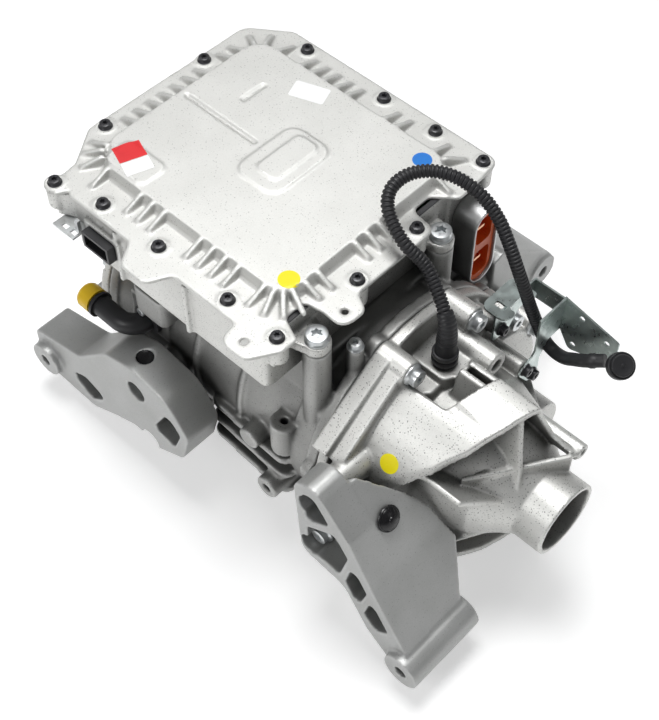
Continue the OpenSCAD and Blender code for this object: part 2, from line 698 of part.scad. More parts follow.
// Straight sloping rib block that runs from the top bolt boss down to the right bracket
module front_rib_block() {
    top = flange_bolts[2];
    foot = [right_back_y + 18, right_bolts[0][1] + 6];
    run = unit(foot - top);
    out = [run[1], -run[0]];
    prism_x(part_x, part_x + boss_len - 2)
        polygon([top + out * 11, foot + out * 9, foot - out * 13, top - out * 13]);
    prism_x(part_x, part_x + 18)
        polygon([top + out * 14, foot + out * 16, foot - out * 20, top - out * 20]);
}

module gearbox_bolts() color("#8c8e91") for (p = flange_bolts)
    screw_px(part_x + boss_len, p[0], p[1], boss_len + flange_t, bolt_r, 11, 10);

// Carrier for the left differential bearing, bolted inside the gearbox cover
module bearing_carrier() color("#a9aaa9") prism_x(carrier_a, carrier_b) difference() {
    union() {
        circle(r = diff_left_brg[3] + 12);
        for (a = arm_angles) rotate(a) {
            translate([diff_left_brg[3], -9]) square([chamber_r - 12 - diff_left_brg[3], 18]);
            translate([chamber_r - 12, 0]) circle(r = 11.5);
        }
    }
    circle(r = diff_left_brg[3]);
    for (a = arm_angles) rotate(a) translate([chamber_r - 12, 0]) circle(r = screw_r + shank_gap);
}

module carrier_bolts() color("#8c8e91") for (a = arm_angles) rotate([a, 0, 0])
    screw_nx(carrier_a, chamber_r - 12, 0, carrier_t + 14, screw_r, 7, 6);

// Motor

module stator_core() color("#7d7f82") prism_x(stack_a, stack_b) difference() {
    circle(r = stator_r);
    circle(r = rotor_r + air_gap);
    for (i = [0:slots - 1]) rotate(i * 360 / slots) translate([slot_start, -2.6]) square([slot_depth, 5.2]);
    for (i = [0:slots - 1]) rotate(i * 360 / slots) translate([rotor_r, -1]) square([6, 2]);
}

module stator_windings() color("#b5652f") {
    inner = slot_start + 1;
    for (i = [0:slots - 1]) rotate([i * 360 / slots, 0, 0])
        block(stack_a - 8, stack_b + 8, inner, winding_r - 3, -2.2, 2.2);
    for (x = [stack_a - 36, stack_b + 6]) tube_x(x, x + 30, winding_r, inner);
}

module resolver_stator() color("#5c5f63") tube_x(motor_x, motor_x + 12, collar_r + 17, 41);

module bearing_outer_rings() color("#c9ccd0") for (b = bearings) bearing_outer(b);

module output_seals() color("#26282b") {
    seal(-seal_depth, -seal_t, collar_bore_r - seal_lip - seat_gap);
    seal(left_seal_x, seal_t, left_bore_r - seal_lip - seat_gap);
}

// A lip seal whose outer face is at x, reaching by t into the casing, with a groove in that face
module seal(x, t, r) {
    difference() {
        rod_x(min(x, x + t), max(x, x + t), r);
        rod_x(x - 2 * seal_t, x + 2 * seal_t, shaft_bore_r);
        difference() {
            rod_x(x - 0.4 * seal_t, x + 0.4 * seal_t, r - 4);
            rod_x(x - seal_t, x + seal_t, shaft_bore_r + 4);
        }
    }
}

module rotor_shaft() color("#9a9da1") difference() {
    union() {
        rod_x(rotor_left_brg[0] - 1, motor_x, rotor_left_brg[2]);
        rod_x(motor_x, stack_a - 6, 24);
        rod_x(stack_a - 6, stack_b + 6, 27);
        rod_x(stack_b + 6, rotor_right_brg[0], 24);
        rod_x(rotor_right_brg[0], one_a, rotor_right_brg[2]);
        prism_x(one_a, one_b) polygon(gear_outline(rotor_teeth, lay_angle));
    }
    rod_x(rotor_left_brg[0] - 2, one_b + over, shaft_bore_r);
}

// Magnet pockets in pairs, one V for each pole
module magnet_pairs(grow) {
    for (i = [0:poles - 1]) rotate(i * 360 / poles)
        for (s = [-1, 1]) translate([rotor_r - 14, s * 10]) rotate(s * 62)
            square([18 + grow, 5 + grow], center = true);
}

module rotor_core() color("#6f7276") prism_x(stack_a, stack_b) difference() {
    circle(r = rotor_r);
    circle(r = 27 + seat_gap);
    magnet_pairs(0.2);
    for (i = [0:poles - 1]) rotate((i + 0.5) * 360 / poles) translate([38, 0]) circle(r = 5);
}

module rotor_magnets() color("#3e4044") prism_x(stack_a + 1, stack_b - 1) magnet_pairs(0);

module rotor_end_plates() color("#aeb0b3") {
    tube_x(stack_a - 5, stack_a, rotor_r - 4, 27 + seat_gap);
    tube_x(stack_b, stack_b + 5, rotor_r - 4, 27 + seat_gap);
}

module resolver_rotor() color("#85878b") prism_x(motor_x + 1, motor_x + 11) difference() {
    union() {
        circle(r = 36);
        for (i = [0:3]) rotate(i * 90) translate([6, 0]) circle(r = 33);
    }
    circle(r = 24 + seat_gap);
}

module rotor_bearing_inners() color("#c9ccd0") {
    bearing_inner(rotor_left_brg);
    bearing_inner(rotor_right_brg);
}

// Reduction gears

module layshaft() color("#9a9da1") {
    translate([0, lay_y, lay_z]) {
        rod_x(lay_left_brg[0], part_x, lay_left_brg[2]);
        rod_x(part_x, two_a - 2, 17);
        prism_x(two_a - 2, two_b + 2)
            polygon(gear_outline(lay_pinion_teeth, lay_angle + 180 + 180 / lay_pinion_teeth));
        rod_x(two_b + 2, lay_right_brg[0] + lay_right_brg[1], lay_right_brg[2]);
    }
}

module layshaft_gear() color("#8d9094") translate([0, lay_y, lay_z]) difference() {
    prism_x(one_a, one_b) polygon(gear_outline(lay_gear_teeth, lay_angle + 180 + 180 / lay_gear_teeth));
    rod_x(one_a - over, one_b + over, 17 + seat_gap);
    tube_x(one_b - 7, one_b + over, root_r(lay_gear_teeth) - 7, 26);
    tube_x(one_a - over, one_a + 7, root_r(lay_gear_teeth) - 7, 26);
}

module layshaft_bearing_inners() color("#c9ccd0") {
    bearing_inner(lay_left_brg);
    bearing_inner(lay_right_brg);
}

module differential_case() color("#83868a") difference() {
    union() {
        rod_x(carrier_a - 1, case_x, diff_left_brg[2]);
        rod_x(case_x - case_half, case_right, case_r);
        rod_x(two_b, two_b + case_flange_t, case_r + 10.5);
        turned([[case_right, 0], [case_right, 36], [diff_right_brg[0], 30], [diff_right_brg[0], 24],
            [hub_right, 24], [hub_right, 0]]);
    }
    intersection() {
        translate([case_x, 0, 0]) sphere(r = case_cavity_r);
        rod_x(case_x - case_half + case_wall, case_right - case_wall, case_cavity_r + over);
    }
    rod_x(carrier_a - 2, hub_right + over, side_hub_r + run_gap);
    rod_z(-case_r - over, case_r + over, pin_r + seat_gap, case_x, 0);
    block(case_x - 13, case_x + 13, -case_r - over, case_r + over, -17, 17);
    for (a = [15:30:345]) rotate([a, 0, 0])
        rod_x(two_b - over, two_b + case_flange_t + over, screw_r + shank_gap, case_r + 5);
}

module ring_gear() color("#8d9094") difference() {
    prism_x(two_a, two_b) polygon(gear_outline(ring_teeth, lay_angle));
    rod_x(two_a - over, two_b + over, case_r + seat_gap);
    for (a = [15:30:345]) rotate([a, 0, 0]) rod_x(two_b - 18, two_b + over, screw_r + seat_gap, case_r + 5);
}

module ring_gear_bolts() color("#6c6f73") for (a = [15:30:345]) rotate([a, 0, 0])
    screw_px(two_b + case_flange_t, case_r + 5, 0, case_flange_t + 16, screw_r, 5, 5);

module differential_bearing_inners() color("#c9ccd0") {
    bearing_inner(diff_left_brg);
    bearing_inner(diff_right_brg);
}

module cross_pin() color("#a5a8ac") rod_z(-case_r + over, case_r - over, pin_r, case_x, 0);

// Spider pinion on the upper end of the cross pin
module spider_pinion() {
    cone = atan(spider_teeth / side_teeth);
    plane = bevel_len * cos(cone);
    difference() {
        union() {
            bevel(spider_teeth, side_teeth, 0);
            translate([0, 0, plane]) cylinder(h = 6, r = plane * tan(cone) - 4);
        }
        cylinder(h = 60, r = pin_r + run_gap);
    }
}

module spider_pinion_upper() color("#90939a") translate([case_x, 0, 0]) spider_pinion();

module spider_pinion_lower() color("#90939a") translate([case_x, 0, 0]) rotate([180, 0, 0]) spider_pinion();

// Side gear with its hub, teeth towards the middle of the case
module side_gear() {
    cone = atan(side_teeth / spider_teeth);
    plane = bevel_len * cos(cone);
    difference() {
        union() {
            bevel(side_teeth, spider_teeth, 180 / side_teeth);
            translate([0, 0, plane]) cylinder(h = side_back - side_gap / 8, r = plane * tan(cone) - 6);
            translate([0, 0, plane]) cylinder(h = side_hub_len, r = side_hub_r);
        }
        cylinder(h = 80, r = spline_r);
    }
}

module side_gear_left() color("#90939a") translate([case_x, 0, 0]) rotate([0, -90, 0]) side_gear();

module side_gear_right() color("#90939a") translate([case_x, 0, 0]) rotate([0, 90, 0]) side_gear();

// Inverter

// Outline of the cover flange
module cover_outline() {
    polygon(rounded([
        [inv_xl + 52, inv_yf - 2, 5], [inv_xl + 134, inv_yf - 2, 8], [inv_xl + 148, inv_yf - 26, 11],
        [inv_xl + 180, inv_yf - 26, 11], [inv_xl + 192, inv_yf - 2, 8], [inv_xr - 54, inv_yf - 2, 6],
        [inv_xr - 50, inv_yf - 24, 11], [inv_xr - 20, inv_yf - 24, 11], [inv_xr - 3, inv_yf + 4, 8],
        [inv_xr - 3, inv_yf + 22, 4], [inv_xr - 27, inv_yf + 32, 8], [inv_xr - 27, inv_yf + 54, 6],
        [inv_xr - 8, inv_yf + 58, 4], [inv_xr + 16, inv_yf + 56, 12], [inv_xr + 18, inv_yf + 84, 10],
        [inv_xr, inv_yf + 94, 8], [inv_xr, 50, 10], [inv_xr - 30, 54, 8], [inv_xr - 30, 76, 8],
        [inv_xr - 8, 94, 10], [inv_xr - 12, inv_yb, 11], [inv_xl + 44, inv_yb, 16], [inv_xl + 2, inv_yb - 30, 16],
        [inv_xl, -78, 14], [inv_xl + 34, inv_yf + 16, 6]]));
    translate(screws[0]) circle(r = screw_boss_r + 1);
    polygon([screws[0] - [3, 0], screws[0] + [10, -10], [inv_xl + 60, inv_yf + 20], [inv_xl + 26, inv_yf + 30]]);
}

// Outline of the raised middle of the cover, drawn about its own centre
plateau_cx = (inv_xl + inv_xr) / 2 - 1;
plateau_cy = (inv_yf + inv_yb) / 2;
plateau_hx = inverter_len / 2 - 32;
plateau_hy = (inverter_front + inverter_back) / 2 - 36;
plateau_draft = 5;
module plateau_outline(inset) {
    hx = plateau_hx - inset;
    hy = plateau_hy - inset;
    polygon(rounded([[-hx + 26, -hy, 12], [hx, -hy, 22], [hx, hy, 22], [-hx, hy, 22], [-hx, -hy + 26, 12]]));
}

module plateau_form(inset, z0, z1) {
    steps = 4;
    for (k = [0:steps - 1]) translate([plateau_cx, plateau_cy, 0])
        prism_z(k == 0 ? z0 : z0 + (z1 - z0) * k / steps - 0.5, z0 + (z1 - z0) * (k + 1) / steps)
            plateau_outline(inset + plateau_draft * k / steps);
}

// Fin that climbs from the flange to the plateau, running along +X
module fin(len, t) {
    prism_y(-t / 2, t / 2) polygon([[0, 0], [2, 3], [len, plateau_h], [len + 4, plateau_h], [len + 4, 0]]);
}

// Fins along each edge, left out where a screw stands
fin_pitch = 15.5;
fin_len = 21;
fin_t = 5;
function clear_of_screws(p, d) = min([for (s = screws) norm(s - p)]) > d;
module edge_fins() {
    x0 = plateau_cx - plateau_hx;
    x1 = plateau_cx + plateau_hx;
    y0 = plateau_cy - plateau_hy;
    y1 = plateau_cy + plateau_hy;
    for (x = [x0 + 30:fin_pitch:x1 - 16]) {
        if (clear_of_screws([x, inv_yf + 11], 13))
            translate([x, y0 - fin_len + 1, cover_z + cover_t - 0.5]) rotate([0, 0, 90]) fin(fin_len, fin_t);
        if (clear_of_screws([x, inv_yb - 11], 13))
            translate([x, y1 + fin_len - 1, cover_z + cover_t - 0.5]) rotate([0, 0, -90]) fin(fin_len, fin_t);
    }
    for (y = [y0 + 29.5:fin_pitch:y1 - 14]) {
        if (clear_of_screws([inv_xr - 11, y], 13) && clear_of_screws([inv_xr - 25, y], 5) && abs(y - 66) > 18)
            translate([x1 + fin_len - 4, y, cover_z + cover_t - 0.5]) rotate([0, 0, 180]) fin(fin_len - 3, fin_t);
        if (y > y0 + 34 && clear_of_screws([left_in, y], 13))
            translate([x0 - fin_len + 3, y, cover_z + cover_t - 0.5]) fin(fin_len - 2, fin_t);
    }
}

// Fins that fan out round a corner of the plateau
module corner_fins() {
    for (c = [[plateau_cx + plateau_hx - 22, plateau_cy - plateau_hy + 22, [-20, -45, -70]],
            [plateau_cx + plateau_hx - 22, plateau_cy + plateau_hy - 22, [28, 62]],
            [plateau_cx - plateau_hx + 22, plateau_cy + plateau_hy - 22, [118, 150]],
            [plateau_cx - plateau_hx + 26, plateau_cy - plateau_hy + 26, [190, 212, 238]]])
        for (a = c[2]) translate([c[0], c[1], cover_z + cover_t - 0.5]) rotate([0, 0, a])
            translate([22 + fin_len, 0, 0]) rotate([0, 0, 180]) fin(fin_len, fin_t);
}

module cover_relief() {
    top = screw_z + plateau_h;
    translate([plateau_cx + 14, plateau_cy + 4, 0]) prism_z(top - over, top + 1.2)
        polygon(rounded([[-28, -38, 14], [24, -38, 14], [24, 40, 14], [-28, 40, 14]]));
    translate([plateau_cx + 13, plateau_cy + 8, 0]) prism_z(top, top + 2.4)
        polygon(rounded([[-13, -28, 7], [13, -28, 7], [13, 30, 7], [-13, 30, 7]]));
    translate([plateau_cx - 84, plateau_cy - 90, 0]) prism_z(top - over, top + 1.2)
        polygon(rounded([[-26, -16, 8], [26, -16, 8], [26, 16, 8], [-26, 16, 8]]));
}

module cover_valleys() {
    top = screw_z + plateau_h;
    translate([plateau_cx - 72, plateau_cy + 4, 0]) prism_z(top - 2, top + over)
        polygon(rounded([[-46, -3, 2], [50, -3, 2], [50, 3, 2], [-46, 3, 2]]));
    translate([plateau_cx - 72, plateau_cy + 50, 0]) prism_z(top - 1.5, top + over)
        polygon(rounded([[-4, -16, 2], [3, -16, 2], [3, 16, 2], [-4, 16, 2]]));
}

module inverter_cover() color("#dcdcd8") difference() {
    union() {
        prism_z(cover_z, screw_z) cover_outline();
        plateau_form(0, screw_z - over, screw_z + plateau_h);
        edge_fins();
        corner_fins();
        cover_relief();
        for (s = screws) rod_z(cover_z, screw_z + 0.8, screw_boss_r, s[0], s[1]);
    }
    plateau_form(4, cover_z - over, screw_z + plateau_h - 4);
    cover_valleys();
    for (s = screws) {
        rod_z(cover_z - over, screw_z + 3, screw_r + shank_gap, s[0], s[1]);
        rod_z(screw_z, screw_z + 3, screw_boss_r - 1.5, s[0], s[1]);
    }
    rod_z(cover_z - over, screw_z + over, 3.5, inv_xr - 34, inv_yf - 10);
    rod_z(cover_z - over, screw_z + over, 3.5, inv_xr + 5, inv_yf + 71);
}

module cover_screws() color("#222326") for (s = screws) translate([s[0], s[1], 0])
    flange_screw(screw_z, cover_t + gasket_t + 16, screw_r, 7, 5);

// Outline of the housing walls under the cover
module box_outline(inset) {
    polygon(rounded([[inv_xl + 50 + inset / 2, inv_yf + 2 + inset, 6], [box_xr - inset, inv_yf + 2 + inset, 8],
        [box_xr - inset, inv_yb - 3 - inset, 8], [inv_xl + 48 + inset / 2, inv_yb - 3 - inset, 10],
        [inv_xl + 6 + inset, inv_yb - 33 - inset / 2, 10],
        [inv_xl + 6 + inset, -76 - inset / 2, 8]]));
}

module cover_gasket() color("#2f3134") difference() {
    prism_z(inv_z1, cover_z) difference() {
        union() {
            box_outline(0);
            for (s = screws) translate(s) circle(r = screw_boss_r - 1);
        }
        box_outline(inverter_wall);
    }
    for (s = screws) rod_z(inv_z1 - over, cover_z + over, screw_r + shank_gap, s[0], s[1]);
}

module inverter_housing() color("#b4b5b3") difference() {
    union() {
        difference() {
            prism_z(saddle_z, inv_z1) box_outline(0);
            prism_z(saddle_z + floor_t, inv_z1 + over) box_outline(inverter_wall);
        }
        for (s = screws) difference() {
            rod_z(inv_z1 - 22, inv_z1, screw_boss_r, s[0], s[1]);
            prism_z(saddle_z, inv_z1 + over) box_outline(inverter_wall + 4);
        }
        for (s = [screws[0]]) prism_z(inv_z1 - 30, inv_z1)
            polygon([s + [-4, 4], s + [4, -6], [inv_xl + 64, inv_yf + 8], [inv_xl + 46, inv_yf + 26]]);
        for (s = [screws[5], screws[6]]) block(box_xr - 2, s[0], s[1] - 5, s[1] + 5, inv_z1 - 32, inv_z1);
        for (s = [screws[4]]) block(box_xr - 2, s[0], s[1] - 6, s[1] + 6, inv_z1 - 32, inv_z1);
        for (p = [post_bolts[0], post_bolts[1]]) prism_z(p[2], p[2] + ear_t) {
            translate([p[0], p[1]]) circle(r = post_r);
            polygon([[p[0], p[1] - post_r], [p[0], p[1] + post_r], [box_xr - 2, p[1] + post_r + 6],
                [box_xr - 2, p[1] - post_r - 6]]);
        }
        for (p = [post_bolts[2], post_bolts[3]]) prism_z(p[2], p[2] + ear_t) {
            translate([p[0], p[1]]) circle(r = post_r);
            polygon([[p[0] + post_r, p[1]], [p[0] - post_r, p[1]], [p[0] - post_r - 6, inv_yb - 4],
                [p[0] + post_r + 6, inv_yb - 4]]);
        }
        for (p = board_posts) rod_z(saddle_z + 2, board_z, 5, p[0], p[1]);
        prism_z(hv_z - hv_tall / 2 - 3, inv_z1 - over) polygon([[box_xr - 26, hv_y - 24], [box_xr + 2, hv_y - 24],
            [box_xr + 2, hv_y + 24], [box_xr - 26, hv_y + 24]]);
        for (x = [inv_xl + 110, inv_xl + 200]) block(x, x + 5, inv_yf - 3, inv_yf + 4, saddle_z, inv_z1 - 1);
        block(inv_xl + 70, inv_xl + 118, inv_yf - 4, inv_yf + 4, inv_z1 - 44, inv_z1 - 12);
    }
    for (s = screws) rod_z(inv_z1 - 18, inv_z1 + over, screw_r + seat_gap, s[0], s[1]);
    for (p = post_bolts) rod_z(p[2] - over, p[2] + ear_t + over, bolt_r + shank_gap, p[0], p[1]);
    for (p = board_posts) rod_z(board_z - 12, board_z + over, 1.5, p[0], p[1]);
    block(bus_x - bus_gap, bus_x + bus_gap, -44, 44, saddle_z - over, saddle_z + floor_t + over);
    for (s = [-1, 1])
        block(box_xr - 36, box_xr + 3, hv_y - 6, hv_y + 6, hv_z + s * 22 - 12 + 20, hv_z + s * 22 + 2 + 20);
    block(inv_xl + 76, inv_xl + 112, inv_yf - 5, inv_yf + 8, inv_z1 - 38, inv_z1 - 18);
}

module inverter_bolts() color("#c3c6ca") for (p = post_bolts) translate([p[0], p[1], 0])
    flange_screw(p[2] + ear_t, ear_t + 36, bolt_r, 11, 9);

module ground_bolt() color("#b8bbbf") translate([part_x - 10, -64, 0])
    flange_screw(ear_z0 - 20, 14, screw_r, 8, 7);

module power_module() color("#3a3d42") difference() {
    block(box_xr - 90, box_xr - 30, -60, 100, saddle_z + floor_t, saddle_z + floor_t + 22);
    for (y = [-40, 10, 60])
        block(box_xr - 80, box_xr - 40, y, y + 30, saddle_z + floor_t + 18, saddle_z + floor_t + 30);
}

module dc_link_capacitor() color("#24272b")
    block(inv_xl + 70, box_xr - 110, -60, 100, saddle_z + floor_t, board_z - 5);

module control_board() color("#1f5a3a") difference() {
    block(inv_xl + 40, box_xr - 12, -90, 92, board_z, board_z + 2);
    for (p = board_posts) rod_z(board_z - over, board_z + 3, 1.8, p[0], p[1]);
}

module phase_busbars() color("#b87333") for (y = [-32, -6, 20])
    prism_y(y, y + 12) polygon([[bus_x - 2, winding_r + 4], [bus_x + 2, winding_r + 4],
        [bus_x + 2, saddle_z + floor_t + 16],
        [box_xr - 30, saddle_z + floor_t + 16], [box_xr - 30, saddle_z + floor_t + 12],
        [bus_x - 2, saddle_z + floor_t + 12]]);

// Connectors

// Upright oval in Y and Z about the connector's centre
module hv_oval(inset) {
    r = hv_wide / 2 - inset;
    for (s = [-1, 1]) translate([hv_y, hv_z + s * (hv_tall - hv_wide) / 2]) circle(r = r);
    translate([hv_y - r, hv_z - (hv_tall - hv_wide) / 2]) square([2 * r, hv_tall - hv_wide]);
}

module hv_connector_shell() color("#c9cac8") {
    difference() {
        prism_x(hv_x0, hv_x1) hv_oval(0);
        prism_x(hv_x0 + hv_pocket, hv_x1 + over) hv_oval(hv_wall);
        for (s = [-1, 1])
            block(hv_x0 - over, hv_x0 + 6, hv_y - 6, hv_y + 6, hv_z + s * 22 - 12 + 20, hv_z + s * 22 + 2 + 20);
    }
}

module hv_connector_insert() color("#e8591c") difference() {
    prism_x(hv_x0 + hv_pocket, hv_x1 - 3) hv_oval(hv_wall + seat_gap);
    for (s = [-1, 1]) prism_x(hv_x0 + 9, hv_x1) translate([hv_y, hv_z + s * 22])
        polygon(rounded([[-11, -17, 6], [11, -17, 6], [11, 17, 6], [-11, 17, 6]]));
    for (s = [-1, 1]) block(hv_x0, hv_x1, hv_y - 5.2, hv_y + 5.2, hv_z + s * 22 - 1.8, hv_z + s * 22 + 1.8);
}

module hv_connector_pins() color("#b87333") for (s = [-1, 1])
    block(hv_x0 + hv_pocket, hv_x1 - 7, hv_y - 5, hv_y + 5, hv_z + s * 22 - 1.5, hv_z + s * 22 + 1.5);

module signal_connector() color("#1d1e20") difference() {
    block(inv_xl + 76.3, inv_xl + 111.7, inv_yf - 12, inv_yf + 7, inv_z1 - 37.7, inv_z1 - 18.3);
    block(inv_xl + 79, inv_xl + 109, inv_yf - 13, inv_yf - 2, inv_z1 - 35, inv_z1 - 21);
}

module harness_tab() color("#c5c7c8") difference() {
    union() {
        block(inv_xl + 40, inv_xl + 69, inv_yf - 18, inv_yf + 1.7, inv_z1 - 32, inv_z1 - 30);
        block(inv_xl + 65, inv_xl + 69, inv_yf - 10, inv_yf - 6, inv_z1 - 32, inv_z1 - 14);
    }
    for (x = [48, 60]) block(inv_xl + x, inv_xl + x + 7, inv_yf - 14, inv_yf - 9, inv_z1 - 34, inv_z1 - 28);
}

// Mount brackets

module left_mount_bracket() color("#a3a5a6") {
    ex = left_eye[0];
    ez = left_eye[1];
    difference() {
        union() {
            prism_y(front_face_y, left_back_y) polygon(rounded([
                [ex - 18, ez + 32, 8], [ex + 58, ez + 52, 20], [ex + 108, ez + 102, 30], [ex + 145, ez + 114, 24],
                [ex + 200, ez + 104, 28], [ex + 224, ez + 66, 20], [ex + 212, ez + 22, 14], [ex + 168, ez - 3, 12],
                [ex + 142, ez + 8, 20], [ex + 106, ez - 8, 20], [ex + 66, ez - 30, 20], [ex - 18, ez - 26, 12]]));
            rod_y(-eye_y, left_back_y, eye_r, ex, ez);
        }
        rod_y(-eye_y - over, left_back_y + over, eye_hole_r, ex, ez);
        prism_y(front_face_y - over, front_face_y + 30) polygon(rounded([
            [ex + 34, ez + 6, 8], [ex + 62, ez + 18, 8], [ex + 92, ez + 6, 8], [ex + 64, ez - 18, 8]]));
        prism_y(front_face_y - over, front_face_y + 26) polygon(rounded([
            [ex + 170, ez + 36, 8], [ex + 196, ez + 84, 8], [ex + 212, ez + 62, 8], [ex + 200, ez + 30, 8]]));
        for (b = left_bolts) rod_y(front_face_y - over, left_back_y + over, bolt_r + shank_gap, b[0], b[1]);
        rod_y(front_face_y - over, left_back_y - 22, 12, left_bolts[0][0], left_bolts[0][1]);
        rod_y(front_face_y - over, left_back_y - 22, 12, left_bolts[1][0], left_bolts[1][1]);
        rod_z(ez + 96, ez + 140, plug_r - 2, ex + 146, (front_face_y + left_back_y) / 2);
    }
}

module right_mount_bracket() color("#a3a5a6") {
    ex = right_eye[0];
    ez = right_eye[1];
    difference() {
        union() {
            prism_y(front_face_y, right_back_y) polygon(rounded([
                [ex - 142, ez + 168, 14], [ex - 118, ez + 188, 18], [ex - 74, ez + 140, 30], [ex - 46, ez + 91, 30],
                [ex - 12, ez + 39, 20], [ex + 24, ez - 14, 12], [ex - 14, ez - 20, 8], [ex - 50, ez + 10, 18],
                [ex - 80, ez + 56, 20], [ex - 134, ez + 62, 14]]));
            rod_y(-eye_y, right_back_y + right_eye_len, eye_r, ex, ez);
            right_plate();
        }
        rod_y(-eye_y - over, right_back_y + right_eye_len + over, eye_hole_r, ex, ez);
        prism_y(front_face_y - over, right_back_y - 7) polygon(rounded([
            [ex - 132, ez + 160, 6], [ex - 118, ez + 168, 8], [ex - 98, ez + 142, 6], [ex - 126, ez + 122, 6]]));
        prism_y(front_face_y - over, right_back_y - 7) polygon(rounded([
            [ex - 126, ez + 110, 6], [ex - 92, ez + 134, 6], [ex - 76, ez + 112, 6],
            [ex - 86, ez + 70, 8], [ex - 124, ez + 72, 6]]));
        prism_y(front_face_y - over, right_back_y - 7) polygon(rounded([
            [ex - 70, ez + 104, 6], [ex - 52, ez + 76, 6], [ex - 62, ez + 40, 6], [ex - 78, ez + 66, 6]]));
        prism_y(front_face_y - over, right_back_y - 7) polygon(rounded([
            [ex - 46, ez + 68, 5], [ex - 24, ez + 34, 5], [ex - 38, ez + 20, 5], [ex - 54, ez + 34, 5]]));
        for (b = right_bolts) rod_y(front_face_y - over, right_back_y + over, bolt_r + shank_gap, b[0], b[1]);
        for (b = right_bolts) rod_y(front_face_y - over, right_back_y - 12, 12, b[0], b[1]);
        right_plug_place() cylinder(h = 30, r = plug_r - 2, center = true);
    }
}

// Broad slanting plate of the right bracket: its outline lies along the arm and reaches back in Y
module right_plate() {
    difference() {
        prism_y(right_back_y - over, right_back_y + 74) polygon([
            [right_eye[0] - 112, right_eye[1] + 168], [right_eye[0] - 104, right_eye[1] + 172],
            [right_eye[0] - 74, right_eye[1] + 139],
            [right_eye[0] - 46, right_eye[1] + 91], [right_eye[0] - 12, right_eye[1] + 39],
            [right_eye[0] + 19, right_eye[1] - 9], [right_eye[0] + 11, right_eye[1] - 14],
            [right_eye[0] - 20, right_eye[1] + 34], [right_eye[0] - 55, right_eye[1] + 86],
            [right_eye[0] - 84, right_eye[1] + 130]]);
        prism_z(-200, 200) polygon([[right_eye[0] - 114, right_back_y - 2], [right_eye[0] - 60, right_back_y + 60],
            [right_eye[0] - 34, right_back_y + 73], [right_eye[0] + 12, right_back_y + 36],
            [right_eye[0] + 60, right_back_y + 36], [right_eye[0] + 60, right_back_y + 120],
            [right_eye[0] - 160, right_back_y + 120], [right_eye[0] - 160, right_back_y - 2]]);
    }
}

// Frame of the right plug, on the slanting face
module right_plug_place() {
    translate([right_eye[0] - 70, -126, right_eye[1] + 133]) rotate([0, 60, 0]) children();
}

module rear_mount_bracket() color("#9fa1a3") difference() {
    union() {
        prism_x(rear_x0, rear_x1) polygon(rounded([
            [rear_face_y, 66, 4], [rear_face_y + 16, 72, 10], [rear_eye[0] - 4, 16, 16], [rear_eye[0] + 18, -6, 12],
            [rear_eye[0] + 12, -36, 12], [rear_eye[0] - 20, -38, 12], [rear_face_y + 14, 4, 16],
            [rear_face_y, 2, 4]]));
        rod_x(rear_x0 - 4, rear_x1 + 4, eye_r, rear_eye[0], rear_eye[1]);
    }
    rod_x(rear_x0 - 5, rear_x1 + 5, eye_hole_r, rear_eye[0], rear_eye[1]);
    for (x = [rear_x0 + 7, (rear_x0 + rear_x1) / 2 + 3]) prism_x(x, x + 19) polygon(rounded([
        [rear_face_y + 12, 50, 4], [rear_face_y + 22, 50, 6], [rear_eye[0] - 24, 2, 6], [rear_eye[0] - 24, -60, 2],
        [rear_face_y + 12, -30, 2]]));
    for (b = rear_bolts) rod_y(rear_face_y - over, rear_face_y + 40, bolt_r + shank_gap, b[0], b[1]);
}

module bracket_bolts() color("#b4b7bb") {
    for (b = left_bolts) screw_ny(b[0], left_back_y - 22, b[1], 50, bolt_r, 11, 9);
    for (b = right_bolts) screw_ny(b[0], right_back_y - 12, b[1], 38, bolt_r, 11, 9);
    for (b = rear_bolts) screw_py(b[0], rear_face_y + 12, b[1], 42, bolt_r, 9.2, 9);
}

module bracket_plugs() color("#17181a") {
    translate([left_eye[0] + 146, (front_face_y + left_back_y) / 2, left_eye[1] + 97])
        cylinder(h = 13, r = plug_r - 2 - seat_gap);
    right_plug_place() cylinder(h = 7, r = plug_r - 2 - seat_gap);
}

// Cooling

// A pipe from the port round a bend to the seat on the housing
module elbow_run(r, x0, y1) {
    rod_x(x0, port_bend_x, r, port_y, port_z);
    translate([port_bend_x, port_y + port_bend_r, port_z]) rotate([0, 0, -90])
        rotate_extrude(angle = 90) translate([port_bend_r, 0]) circle(r = r);
    rod_y(port_y + port_bend_r, y1, r, port_x, port_z);
}

module coolant_elbow() color("#1b1c1e") difference() {
    union() {
        elbow_run(pipe_r, port_x0, port_seat_y);
        rod_x(port_x0 + 17, port_x0 + 20, pipe_r + 3, port_y, port_z);
        prism_y(port_seat_y - 5, port_seat_y) translate([port_x, port_z]) {
            circle(r = pipe_r + 6);
            translate([0, 17]) circle(r = 8);
            translate([-8, 0]) square([16, 17]);
        }
    }
    elbow_run(pipe_r - pipe_wall, port_x0 - over, port_seat_y + over);
    rod_y(port_seat_y - 6, port_seat_y + over, screw_r + shank_gap, port_x, port_z + 17);
}

module coolant_elbow_screw() color("#9fa2a6") screw_ny(port_x, port_seat_y - 5, port_z + 17, 17, screw_r, 6, 6);

module coolant_cap() color("#f2c500") difference() {
    turned([[port_x0 - 3, 0], [port_x0 - 3, pipe_r + 1], [port_x0, pipe_r + 2.6], [port_x0 + 14, pipe_r + 2.6],
        [port_x0 + 14, 0]], port_y, port_z);
    rod_x(port_x0, port_x0 + 15, pipe_r + seat_gap, port_y, port_z);
}

// Breather

